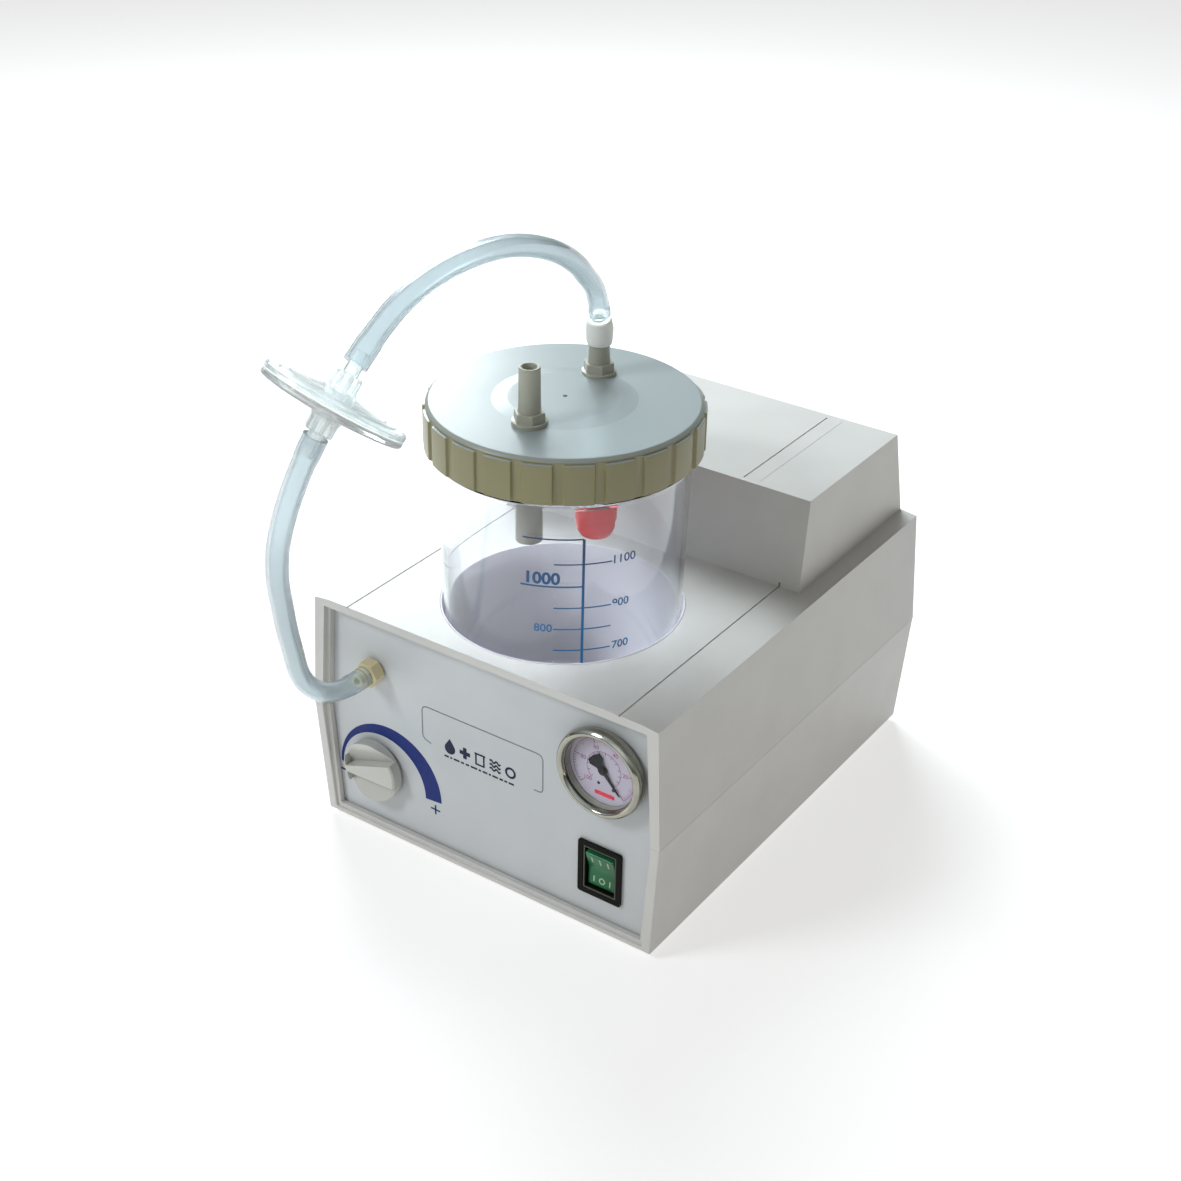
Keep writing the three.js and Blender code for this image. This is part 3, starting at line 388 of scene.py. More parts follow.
def rounded(points, closed=True, steps=5):
    """Outline points (a, b) or (a, b, radius): a corner with a radius becomes an arc."""
    out = []
    n = len(points)
    for i, p in enumerate(points):
        radius = p[2] if len(p) > 2 else 0
        here = Vector(p[:2])
        if not radius or (not closed and i in (0, n - 1)):
            out.append(here)
            continue
        a = Vector(points[i - 1][:2]) - here
        b = Vector(points[(i + 1) % n][:2]) - here
        half = a.angle(b) / 2
        back = min(radius / tan(half), a.length * 0.49, b.length * 0.49)
        start, end = here + a.normalized() * back, here + b.normalized() * back
        for k in range(steps + 1):
            t = k / steps
            out.append(start * (1 - t) ** 2 + here * 2 * t * (1 - t) + end * t * t)
    return out


def plate(x0, x1, z0, z1, radius, steps=5):
    """Outline of a rectangle with rounded corners."""
    return rounded([(x0, z0, radius), (x1, z0, radius), (x1, z1, radius), (x0, z1, radius)], steps=steps)


def arc_points(x, z, r, angles):
    return [(x + r * cos(a), z + r * sin(a)) for a in angles]


def circle(x, z, r, steps=96):
    return arc_points(x, z, r, (TAU * k / steps for k in range(steps)))


def turned_to(axis):
    return UP.rotation_difference(Vector(axis)).to_matrix()


def span(bm, low, high):
    """Faces between two rings of vertices. A ring of one vertex is a pole."""
    if len(low) == len(high) == 1:
        return
    steps = max(len(low), len(high))
    for k in range(steps):
        j = (k + 1) % steps
        if len(low) == 1:
            bm.faces.new((low[0], high[j], high[k]))
        elif len(high) == 1:
            bm.faces.new((low[k], low[j], high[0]))
        else:
            bm.faces.new((low[k], low[j], high[j], high[k]))


def lathe(profile, at=(0, 0, 0), steps=128, axis=UP, closed=True, bm=None, arc=5):
    """Solid of revolution: profile of (radius, height[, corner radius]) about axis."""
    bm = bm or bmesh.new()
    at, turn = Vector(at), turned_to(axis)
    rings = []
    for p in rounded(profile, closed, arc):
        ring = circle(0, 0, p.x, steps) if p.x >= 1e-6 else [(0, 0)]
        rings.append([bm.verts.new(at + turn @ Vector((*xy, p.y))) for xy in ring])
    for low, high in zip(rings, rings[1:] + rings[:1] if closed else rings[1:]):
        span(bm, low, high)
    return bm


def drill(at, r, z0, z1, steps=48):
    """Round upright tool for cutting a hole."""
    return lathe([(0, z0), (r, z0), (r, z1), (0, z1)], (*at, 0), steps, closed=False)


def loft(near, far, bm=None):
    """Solid between two outlines in space, of as many points."""
    bm = bm or bmesh.new()
    near, far = [[bm.verts.new(p) for p in outline] for outline in (near, far)]
    bm.faces.new(near)
    bm.faces.new(far[::-1])
    for i in range(len(near)):
        j = (i + 1) % len(near)
        bm.faces.new((near[i], far[i], far[j], near[j]))
    return bm


def prism(outline, y0, y1, bm=None):
    """Outline in XZ, extruded along Y."""
    return loft([(p[0], y0, p[1]) for p in outline], [(p[0], y1, p[1]) for p in outline], bm)


def block(x, y, z, bm=None):
    return prism([(x[0], z[0]), (x[1], z[0]), (x[1], z[1]), (x[0], z[1])], *y, bm)


def brick(x, w, y, z, h):
    """Block round a middle in x and z, with half sizes w and h, between two depths."""
    return block((x - w, x + w), y, (z - h, z + h))


def wedge(low, high, z0, z1):
    """Block between two rectangles (half width, front, rear) at heights z0 and z1."""
    return loft(*([(-half, y0, z), (half, y0, z), (half, y1, z), (-half, y1, z)]
                  for (half, y0, y1), z in ((low, z0), (high, z1))))


def band(one, other, closed, y0, y1, bm):
    """Ribbon between two lines of as many points in XZ, extruded along Y."""
    rows = [[bm.verts.new((x, y, z)) for x, z in line] for line in (one, other) for y in (y0, y1)]
    near_a, far_a, near_b, far_b = rows
    count = len(one)
    for i in range(count if closed else count - 1):
        j = (i + 1) % count
        bm.faces.new((near_a[i], near_a[j], near_b[j], near_b[i]))
        bm.faces.new((far_a[i], far_b[i], far_b[j], far_a[j]))
        bm.faces.new((near_a[i], far_a[i], far_a[j], near_a[j]))
        bm.faces.new((near_b[i], near_b[j], far_b[j], far_b[i]))
    if not closed:
        for i in (0, count - 1):
            bm.faces.new((near_a[i], near_b[i], far_b[i], far_a[i]))


def merge(bm, other):
    mesh = as_mesh(other, "merge")
    bm.from_mesh(mesh)
    bpy.data.meshes.remove(mesh)
    return bm


def tool(bm):
    bmesh.ops.recalc_face_normals(bm, faces=bm.faces)
    return placed("tool", as_mesh(bm, "tool"))


def carve(bm, cuts=(), joins=()):
    """The bmesh with others joined to it and tools cut from it, as a clean new bmesh."""
    base = tool(bm)
    tools = [(tool(t), "UNION") for t in joins] + [(tool(t), "DIFFERENCE") for t in cuts]
    for other, operation in tools:
        b = base.modifiers.new("cut", "BOOLEAN")
        b.operation = operation
        b.solver = "EXACT"
        b.object = other
    result = bmesh.new()
    result.from_object(base, bpy.context.evaluated_depsgraph_get())
    for obj in [base] + [t for t, _ in tools]:
        mesh = obj.data
        bpy.data.objects.remove(obj)
        bpy.data.meshes.remove(mesh)
    bmesh.ops.remove_doubles(result, verts=result.verts, dist=2e-3)
    bmesh.ops.dissolve_limit(result, angle_limit=radians(0.6), verts=result.verts, edges=result.edges)
    return result


def curve_points(route, per=8):
    """A smooth centripetal curve through given points."""
    pts = [Vector(p) for p in route]
    pts = [pts[0] * 2 - pts[1]] + pts + [pts[-1] * 2 - pts[-2]]
    out = []
    for i in range(1, len(pts) - 2):
        p0, p1, p2, p3 = pts[i - 1:i + 3]
        t1 = (p1 - p0).length ** 0.5
        t2 = t1 + (p2 - p1).length ** 0.5
        t3 = t2 + (p3 - p2).length ** 0.5
        for k in range(per):
            t = t1 + (t2 - t1) * k / per
            a1 = p0 * ((t1 - t) / t1) + p1 * (t / t1)
            a2 = p1 * ((t2 - t) / (t2 - t1)) + p2 * ((t - t1) / (t2 - t1))
            a3 = p2 * ((t3 - t) / (t3 - t2)) + p3 * ((t - t2) / (t3 - t2))
            b1 = a1 * ((t2 - t) / t2) + a2 * (t / t2)
            b2 = a2 * ((t3 - t) / (t3 - t1)) + a3 * ((t - t1) / (t3 - t1))
            out.append(b1 * ((t2 - t) / (t2 - t1)) + b2 * ((t - t1) / (t2 - t1)))
    out.append(pts[-2])
    return out


def tube(line, outer, inner, flare, sides=40):
    """Hollow tube along a line; flare(share) widens it where a fitting is pushed in."""
    bm = bmesh.new()
    normal = None
    loops = []
    for i, p in enumerate(line):
        ahead = line[min(i + 1, len(line) - 1)] - line[max(i - 1, 0)]
        ahead.normalize()
        if normal is None:
            normal = ahead.orthogonal().normalized()
        normal = (normal - ahead * normal.dot(ahead)).normalized()
        side = ahead.cross(normal)
        swell = flare(i / (len(line) - 1))
        rings = [circle(0, 0, d / 2 + swell, sides) for d in (outer, inner)]
        loops.append([[bm.verts.new(p + normal * x + side * y) for x, y in ring] for ring in rings])
    for (o0, i0), (o1, i1) in zip(loops, loops[1:]):
        span(bm, o0, o1)
        span(bm, i1, i0)
    span(bm, *loops[0])
    span(bm, *loops[-1])
    return bm


# ------------------------------------------------------------------ camera
SENSOR = 36
LENS = 59.64
ROLL = radians(1.1)
camera_data = bpy.data.cameras.new("camera")
camera_data.sensor_width = SENSOR
camera_data.lens = LENS
camera_data.clip_start = 0.05
camera_data.clip_end = 50
camera = placed("camera", camera_data)
camera.location = (0.4579, -0.7041, 0.5995)
look_at = Vector((-0.02204, 0.0031, 0.09818))
aim = (look_at - camera.location).to_track_quat("-Z", "Y").to_matrix().to_4x4()
camera.matrix_world = Matrix.Translation(camera.location) @ aim @ Matrix.Rotation(ROLL, 4, "Z")
bpy.context.scene.camera = camera

# ------------------------------------------------------------------ hoses
BARB_REACH = 10  # length of each fitting inside a hose end


def length_of(line):
    return sum((b - a).length for a, b in zip(line, line[1:])) * MM


def hose(name, route):
    line = curve_points(route)
    if route is LOWER_ROUTE:
        line.insert(0, Vector(NOZZLE_START))
    total = length_of(line) / MM

    def flare(share):
        near = min(share, 1 - share) * total
        return 0.35 * max(0.0, 1 - max(0.0, near - BARB_REACH) / 4)

    obj = piece(name + "_clear", tube(line, HOSE_D, BORE_D, flare), "hose", "lid", "clear_hose",
                (name,), smooth=50)


# ------------------------------------------------------------------ in-line filter
FILTER_R = 30
NECK_RIBS = 8


def filter_half(side):
    """One clear half: rim, ring steps, cone, ribbed neck and the barb inside the hose."""
    def s(points):
        return [(p[0], side * p[1], *p[2:]) for p in points]

    bm = lathe(s([
        (1.7, 22.5), (2.6, 22.5, 0.3), (3.1, 21), (3.15, 14.5), (3.2, 13), (5.3, 12.6, 0.3), (5.3, 8.2),
        (6.4, 5.6, 1.2), (14, 4.6, 3), (24.5, 3.5, 1), (25.2, 2.9), (29.3, 2.9, 0.8), (FILTER_R, 2.2, 0.8),
        (FILTER_R, 0.45), (26.6, 0.45), (26.2, 1.3), (4, 3.0, 1), (1.7, 4.2, 0.6)]),
        FILTER_AT, 128, FILTER_AXIS)
    turn = turned_to(FILTER_AXIS)
    for k in range(NECK_RIBS):
        rib = block((4.6, 6.5), (-0.55, 0.55), sorted((side * 5.5, side * 12.2)))
        around = Matrix.Rotation(TAU * k / NECK_RIBS, 3, "Z")
        for v in rib.verts:
            v.co = FILTER_AT + turn @ (around @ v.co)
        merge(bm, rib)
    for radius in (10, 15, 20):
        lathe(s([(radius, 4.4), (radius + 0.5, 5.3 - radius * 0.05, 0.2), (radius + 1, 4.3)]), FILTER_AT, 96,
              FILTER_AXIS, bm=bm, arc=2)
    return bm


for side, half_name in ((1, "filter_upper"), (-1, "filter_lower")):
    piece(half_name + "_clear", filter_half(side), "filter", "lid", "clear_filter",
                               (half_name,), smooth=30)
hose("hose_lower", LOWER_ROUTE)
hose("hose_upper", UPPER_ROUTE)

# ------------------------------------------------------------------ housing
TOP = (TOP_HALF_X, *TOP_Y)
PART = (PART_HALF_X, *PART_Y)
BASE = (BASE_HALF_X, *BASE_Y)
BOX_FOOT = (88, 14.8, 121.75)
BOX_HEAD = (85.5, 24.2, 113.4)
WALL = 3
SEAM = 0.14
LEDGE = 1.8  # width of the bead round the recessed panel
LEDGE_Y = -119.6  # front of that bead
FRONT_OPENING = [(-89.9, 7.5), (89.9, 7.5), (93.8, PART_Z), (89.6, 121.5), (-89.6, 121.5), (-93.8, PART_Z)]
REAR_OPENING = [(-88, 10), (88, 10), (92, PART_Z), (88, 118), (-88, 118), (-92, PART_Z)]
WELL_HOLE = WELL_R + 1.1
SCREW_XY = [(-82, -90), (82, -90), (-82, 104), (82, 104)]


def grown(outline, d):
    middle_z = (outline[0][1] + outline[3][1]) / 2
    return [(x + copysign(d, x), z + (0 if abs(z - PART_Z) < 1 else copysign(d, z - middle_z)))
            for x, z in outline]


def hollow(section):
    return (section[0] - WALL, PANEL_Y - SEAM, REAR_Y + SEAM)


def openings():
    return [
        prism(grown(FRONT_OPENING, LEDGE), PART_Y[0] - 5, LEDGE_Y),
        prism(FRONT_OPENING, LEDGE_Y - 1, PANEL_Y + 1),
        prism(grown(REAR_OPENING, LEDGE), REAR_Y + 1.6, PART_Y[1] + 5),
        prism(REAR_OPENING, REAR_Y - 1, PART_Y[1]),
    ]


def upper_shell():
    z0 = PART_Z + SEAM / 2
    bm = wedge(PART, TOP, z0, TOP_Z)
    box_out = wedge(BOX_FOOT, BOX_HEAD, TOP_Z - 2, BOX_TOP_Z)
    inside = wedge(hollow(PART), hollow(TOP), z0 - 1, TOP_Z - WALL)
    box_in = wedge((82, 20.8, 115.7), (82.5, 27.2, 110.4), TOP_Z - WALL - 2, BOX_TOP_Z - WALL)
    well = drill((JAR_X, JAR_Y), WELL_HOLE, 90, TOP_Z + 3, 160)
    shoulders = []
    for s in (-1, 1):
        edge = [(s * SHOULDER_X, TOP_Z), (s * (TOP_HALF_X + 1), TOP_Z - SHOULDER_DROP),
                (s * (TOP_HALF_X + 1), TOP_Z + 1), (s * SHOULDER_X, TOP_Z + 1)]
        shoulders.append(prism(edge, TOP_Y[0] - 3, TOP_Y[1] + 3))
    grooves = []
    for s in (-1, 1):
        x = s * 76.8
        grooves.append(block((x - 0.35, x + 0.35), (TOP_Y[0] - 3, 19), (TOP_Z - 0.7, TOP_Z + 2)))
        for away, width, depth in ((47.3, 0.35, 0.5), (56, 0.12, 0.15)):
            x = s * away
            grooves.append(block((x - width, x + width), (27.2, 110), (BOX_TOP_Z - depth, BOX_TOP_Z + 2)))
    bm = carve(bm, shoulders)
    return carve(bm, [inside, box_in, well, *openings(), *grooves], [box_out])


def lower_shell():
    z1 = PART_Z - SEAM / 2
    bm = wedge(BASE, PART, FOOT_H, z1)
    inside = wedge(hollow(BASE), hollow(PART), FOOT_H + WALL, z1 + 1)
    vents = [block((i * 9 - 1.8, i * 9 + 1.8), (40, 84), (FOOT_H - 1, FOOT_H + WALL + 1))
             for i in range(-3, 4)]
    screws = [drill(at, 4.2, FOOT_H - 1, FOOT_H + 1.4, 40) for at in SCREW_XY]
    return carve(bm, [inside, *openings(), *vents, *screws])


skin("upper_shell", upper_shell(), "housing", "housing", bevel=0.9, sharp_z=PART_Z)
skin("lower_shell", lower_shell(), "housing", "housing", bevel=0.7, sharp_z=PART_Z)


def cross_screw(name, at, axis, r=3.4):
    """Pan-head screw with a cross recess, its head standing off along axis."""
    head = lathe([(0, -1.2), (r, -1.2), (r, 0.3, 0.3), (r * 0.72, 1.3, 1.2), (0, 1.6)], steps=48,
                 closed=False)
    arms = [block((-0.5, 0.5), (-1.9, 1.9), (0.4, 3)), block((-1.9, 1.9), (-0.5, 0.5), (0.4, 3))]
    bm = carve(head, arms)
    turn = turned_to(axis)
    for v in bm.verts:
        v.co = Vector(at) + turn @ v.co
    piece(name, bm, "steel", "root", "steel", bevel=0.1, segments=2)


for i, (x, y) in enumerate(SCREW_XY):
    cross_screw(f"base_screw_{i + 1}", (x, y, FOOT_H + 0.2), (0, 0, -1))
for i, (x, z) in enumerate(((-84, 16), (84, 16), (-84, 112), (84, 112))):
    cross_screw(f"rear_screw_{i + 1}", (x, REAR_Y, z), (0, 1, 0), 3)

# ------------------------------------------------------------------ panels
PANEL_EDGE = [(-92.6, 6.8), (92.6, 6.8), (96.6, PART_Z), (93.2, 124), (-93.2, 124), (-96.6, PART_Z)]
PANEL_T = 1.5


def front_panel():
    through = (PANEL_Y - 1, PANEL_Y + 3)
    holes = [
        prism(circle(GAUGE_X, GAUGE_Z, 19.9), *through),
        brick(SWITCH_X, 10.3, through, SWITCH_Z, 13.4),
        prism(circle(*KNOB, 5.4, 48), *through),
        prism(circle(*NOZZLE, 5.1, 48), *through),
    ]
    return carve(prism(PANEL_EDGE, PANEL_Y, PANEL_Y + PANEL_T), holes)


skin("front_panel", front_panel(), "panel", "panel", bevel=0.15, segments=2)

INLET_X, _, INLET_Z = middle(corners("power_inlet"))
EXHAUST = (60, 92)


def rear_panel():
    through = (REAR_Y - 3, REAR_Y + 1)
    holes = [prism(plate(-18, 34, z - 1.6, z + 1.6, 1.5, 6), *through) for z in range(30, 79, 8)]
    holes.append(brick(INLET_X, 13.8, through, INLET_Z, 23.8))
    holes.append(prism(circle(*EXHAUST, 6.4, 48), *through))
    return carve(prism(PANEL_EDGE, REAR_Y - 2, REAR_Y), holes)


skin("rear_panel", rear_panel(), "housing", "housing", bevel=0.3, segments=2)

# ------------------------------------------------------------------ printed panel marks
INK = 0.08  # thickness of printed ink


def raised(shapes, y0, y1):
    """Closed outlines (lists) and ribbons (tuples of two lines and closed) as one bmesh."""
    bm = bmesh.new()
    for shape in shapes:
        if isinstance(shape, tuple):
            band(*shape, y0, y1, bm)
        else:
            prism(shape, y0, y1, bm)
    return bm


def printed(name, shapes, look, face=PANEL_Y, slot="panel"):
    """Flat ink on the front panel or on the dial."""
    piece(name, raised(shapes, face - INK, face + 0.02), look, "root", slot, smooth=30)


def crescent():
    """Scale arc that widens from the minus end to the plus end."""
    steps = 72
    angles = [pi * k / steps for k in range(steps + 1)]
    return [(arc_points(-59.2, 31.8, 31.6, angles), arc_points(-63.4, 31.0, 26.1, angles), False)]


def strip(points, width):
    """A thin line through points in XZ, with mitred corners."""
    line = [Vector(p) for p in points]
    left, right = [], []
    for i, p in enumerate(line):
        before = (p - line[i - 1]).normalized() if i else None
        after = (line[i + 1] - p).normalized() if i + 1 < len(line) else None
        along = ((before or after) + (after or before)).normalized()
        side = Vector((-along.y, along.x))
        reach = width / 2 / max(0.5, along.dot(after or before))
        left.append(p + side * reach)
        right.append(p - side * reach)
    return [(left, right, False)]


printed("knob_scale_arc", crescent(), "blue_ink")
printed("knob_scale_minus", strip([(-91.4, 26.6), (-88.4, 26.4)], 1.0), "navy_ink")
plus = strip([(-34.2, 26.8), (-28.6, 26.6)], 0.9) + strip([(-31.4, 29.4), (-31.4, 24)], 0.9)
printed("knob_scale_plus", plus, "blue_ink")

LABEL_X = (-38, 32.5)
LABEL_Z = (65, 85)
label_line = rounded([
    (LABEL_X[0] + 5, LABEL_Z[0]), (LABEL_X[0], LABEL_Z[0] + 1.5, 4), (LABEL_X[0], LABEL_Z[1], 3.5),
    (LABEL_X[1], LABEL_Z[1], 3.5), (LABEL_X[1], LABEL_Z[0] - 1, 3.5), (LABEL_X[1] - 5, LABEL_Z[0] - 1),
], closed=False, steps=10)
printed("label_frame", strip(label_line, 0.55), "frame_ink")


def icon_drop(x, z, r):
    arc = arc_points(x, z - r * 0.3, r, [radians(d) for d in range(-215, 36, 10)])
    return [arc + [(x, z + r * 1.5)]]


def icon_cross(x, z, r):
    w = r * 0.34
    return [[(x - r, z - w), (x - w, z - w), (x - w, z - r), (x + w, z - r), (x + w, z - w), (x + r, z - w),
             (x + r, z + w), (x + w, z + w), (x + w, z + r), (x - w, z + r), (x - w, z + w), (x - r, z + w)]]


def icon_ring(x, z, r, steps=32):
    return [(circle(x, z, r, steps), circle(x, z, r * 0.62, steps), True)]


def icon_waves(x, z, r):
    out = []
    for row in (-0.7, 0, 0.7):
        line = [(x + r * (k / 6 - 1), z + r * row + 0.22 * r * sin(k * pi / 3)) for k in range(13)]
        out += strip(line, r * 0.3)
    return out


def icon_jar(x, z, r):
    w = r * 0.75
    cup = strip([(x - w, z + r), (x - w, z - r), (x + w, z - r), (x + w, z + r)], r * 0.3)
    return cup + strip([(x - r, z + r * 0.9), (x + r, z + r * 0.9)], r * 0.3)


ICONS = [icon_drop, icon_cross, icon_jar, icon_waves, icon_ring]
marks = []
ICON_R = 3.1
for k, icon in enumerate(ICONS):
    marks += icon(-21.6 + k * 8.9, 67.6, ICON_R)
printed("label_icons", marks, "navy_ink")
DASHES = (2.6, 1.2, 3.4, 1.8, 2.2, 3.8, 1.4, 2.8, 1.2, 3.2, 2.0, 1.6, 3.0)
DASH_Z, DASH_GAP = 61.6, 0.9
dashes, dash_x = [], -25.0
for dash in DASHES:
    dashes += strip([(dash_x, DASH_Z), (dash_x + dash, DASH_Z)], 1.0)
    dash_x += dash + DASH_GAP
printed("label_dashes", dashes, "navy_ink")

# ------------------------------------------------------------------ feet
for i in range(4):
    x, y, _ = middle(corners(f"rubber_foot_{i + 1}"))
    foot = lathe([(0, 0.6), (5.6, 0.6), (6.2, 0, 0.3), (8.6, 0, 0.6), (9, 2.7, 0.3), (2.9, 2.7), (2.9, 6.3, 0.3),
                  (0, 6.3)], (x, y, 0), 64, closed=False)
    piece(f"foot_{i + 1}_rubber", foot, "rubber", "root", "rubber", (f"rubber_foot_{i + 1}",))

# ------------------------------------------------------------------ jar well
JAR_AT = (JAR_X, JAR_Y, 0)
well = lathe([
    (0, 50), (58.7, 50), (58.7, TOP_Z - WALL - 0.2), (WELL_R + 0.9, TOP_Z - WALL), (WELL_R + 0.9, TOP_Z + 0.2, 0.2),
    (WELL_R + 0.2, TOP_Z + 0.2, 0.2), (WELL_R, TOP_Z - 2), (WELL_R, 52, 1.2), (0, 52)],
    JAR_AT, 160, closed=False)
skin("jar_well", well, "well", "housing")

# ------------------------------------------------------------------ jar with its printed scale
JAR_FOOT_R, JAR_TOP_R, JAR_NECK_R, JAR_WALL = 55, 56.1, 58.2, 2.2


def jar_radius(z):
    """Outside radius of the jar's tapered wall at height z."""
    if z < TOP_Z:
        return JAR_FOOT_R + (JAR_TOP_R - JAR_FOOT_R) * (z - JAR_FOOT_Z) / (TOP_Z - JAR_FOOT_Z)
    return JAR_TOP_R + (JAR_NECK_R - JAR_TOP_R) * (z - TOP_Z) / (SKIRT_Z - 5 - TOP_Z)


def jar_profile():
    w = JAR_WALL
    f = JAR_FOOT_Z
    neck = SKIRT_Z - 5
    return [
        (0, f + 1.5), (44, f + 1.5, 2), (47, f, 1), (52.5, f, 2), (JAR_FOOT_R, f + 3, 3), (JAR_TOP_R, TOP_Z),
        (JAR_NECK_R, neck, 0.4), (59.6, neck + 0.6, 0.5), (59.9, neck + 2.4, 0.6), (JAR_NECK_R, neck + 3.2, 0.4),
        (JAR_NECK_R, SKIRT_Z + 6), (59.8, SKIRT_Z + 6.8), (59.8, SKIRT_Z + 8.6), (JAR_NECK_R, SKIRT_Z + 9.4),
        (JAR_NECK_R, JAR_RIM_Z, 0.8), (JAR_NECK_R - w, JAR_RIM_Z, 0.8), (JAR_TOP_R - w, TOP_Z),
        (JAR_FOOT_R - w, f + 8, 3), (JAR_FOOT_R - w - 4, f + 4, 2), (0, f + 4),
    ]


jar_wall = lathe(jar_profile(), JAR_AT, 192, closed=False)
piece("jar_clear", jar_wall, "jar", "jar", "clear_jar", ("jar",), smooth=30)

SCALE_TURN = radians(-46)  # plan angle of the scale's upright line
PRINT_OUT = 0.06


def wrap(bm):
    """Bends a flat print (x along the wall, z up) onto the jar's outside."""
    long_edges = [e for e in bm.edges if e.calc_length() > 1.5]
    bmesh.ops.subdivide_edges(bm, edges=long_edges, cuts=6, use_grid_fill=True)
    for v in bm.verts:
        r = jar_radius(v.co.z) + PRINT_OUT - v.co.y
        a = SCALE_TURN + v.co.x / jar_radius(v.co.z)
        v.co = Vector((JAR_X + r * cos(a), JAR_Y + r * sin(a), v.co.z))
    return bm


def digits(text, x, z, size, weight=0.0):
    """Plain numerals as a flat bmesh, with their middle at x and foot at z."""
    data = bpy.data.curves.new("digits", "FONT")
    data.body = text
    data.size = size
    data.align_x = "CENTER"
    data.extrude = 0.03
    data.offset = weight
    obj = placed("digits", data)
    mesh = bpy.data.meshes.new_from_object(obj.evaluated_get(bpy.context.evaluated_depsgraph_get()))
    bm = bmesh.new()
    bm.from_mesh(mesh)
    bpy.data.meshes.remove(mesh)
    bpy.data.objects.remove(obj)
    bpy.data.curves.remove(data)
    for v in bm.verts:
        v.co = Vector((x + v.co.x, -v.co.z, z + v.co.y))
    return bm


def scale_line(x0, x1, z, width):
    return block((x0, x1), (-0.03, 0.03), (z - width / 2, z + width / 2))


def jar_scale():
    bm = bmesh.new()
    top = 191.3
    merge(bm, block((-0.6, 0.6), (-0.03, 0.03), (74, top)))
    merge(bm, scale_line(-27, 0, top, 0.7))
    ticks = {1100: 178.7, 1000: 167.3, 900: 156.3, 800: 145.2, 700: 134.1}
    for volume, z in ticks.items():
        major = volume % 1000 == 0
        merge(bm, scale_line(-28 if major else -13, 0 if major else 13, z, 0.8 if major else 0.65))
    for k, z in enumerate((123.3, 112.5, 101.7, 90.9, 80.1)):
        merge(bm, scale_line(-13, 13, z, 0.65))
        merge(bm, digits(str(600 - 100 * k), 18.5 if k % 2 else -18.5, z - 1.6, 5.4, 0.05))
    for volume, x, size in ((1100, 18.6, 6.0), (900, 17.6, 5.6), (700, 18, 5.6), (800, -17.6, 5.6)):
        merge(bm, digits(str(volume), x, ticks[volume] - 1.4, size, 0.06))
    merge(bm, digits("1000", -18.4, ticks[1000] + 1.4, 8.2, 0.26))
    return wrap(bm)


piece("jar_scale_print", jar_scale(), "jar_ink", "jar", "clear_jar", smooth=30)

# ------------------------------------------------------------------ lid
RIB_WIDTH = 12.8
RIB_OUT = 1.25
DISC_RISE = 0.9  # the raised middle of the lid
THROUGH_LID = (200, 250)  # heights well below and above it


def lid_radius(angle):
    """Skirt radius: broad ribs with narrow hollow flutes between them."""
    pitch = TAU / LID_RIBS
    off = abs((angle + pitch / 2) % pitch - pitch / 2) * LID_R
    edge = RIB_WIDTH / 2
    blend = min(1.0, max(0.0, (off - edge) / 0.9))
    return LID_R - RIB_OUT * (blend * blend * (3 - 2 * blend))


def jar_lid():
    """Lid swept round its axis, with its skirt following the ribs."""
    steps = LID_RIBS * 28
    outer = rounded([
        (0, LID_Z + DISC_RISE), (26, LID_Z + DISC_RISE, 4), (33, LID_Z + 0.05, 4), (60.9, LID_Z, 1.0),
        (62.55, LID_Z - 1.5, 0.8), (62.55, LID_Z - 2.2)], closed=False)
    ribs = rounded([(0, LID_Z - 2.3), (1, LID_Z - 2.6, 0.3), (1.0, SKIRT_Z + 0.5, 0.4), (0.4, SKIRT_Z, 0.3)],
                   closed=False)
    inner = [(60.6, SKIRT_Z), (60.6, LID_Z - 2.5), (0, LID_Z - 2.5)]
    base_r = LID_R - RIB_OUT
    rows = [[(p.x, p.y)] * steps for p in outer]
    rows += [[(base_r + (lid_radius(TAU * k / steps) - base_r) * min(1.0, p.x), p.y) for k in range(steps)]
             for p in ribs]
    rows += [[p] * steps for p in inner]
    bm = bmesh.new()
    grid = []
    for row in rows:
        if row[0][0] < 1e-6:
            grid.append([bm.verts.new((JAR_X, JAR_Y, row[0][1]))])
        else:
            grid.append([bm.verts.new((JAR_X + r * cos(TAU * k / steps), JAR_Y + r * sin(TAU * k / steps), z))
                         for k, (r, z) in enumerate(row)])
    for low, high in zip(grid, grid[1:]):
        span(bm, low, high)
    return carve(bm, [drill(at, 4.5, *THROUGH_LID) for at in (PATIENT, VACUUM)])


skin("jar_lid", jar_lid(), "lid", "ivory_plastic", "lid", smooth=30)
DOT_Z = LID_Z + DISC_RISE
dot = lathe([(0, DOT_Z - 0.1), (1.1, DOT_Z - 0.1), (1.0, DOT_Z + 0.15, 0.1), (0, DOT_Z + 0.2)], JAR_AT, 32,
            closed=False)
piece("lid_centre_dot", dot, "slot_dark", "lid", "ivory_plastic")

COLLAR_Z = LID_Z + 1.9


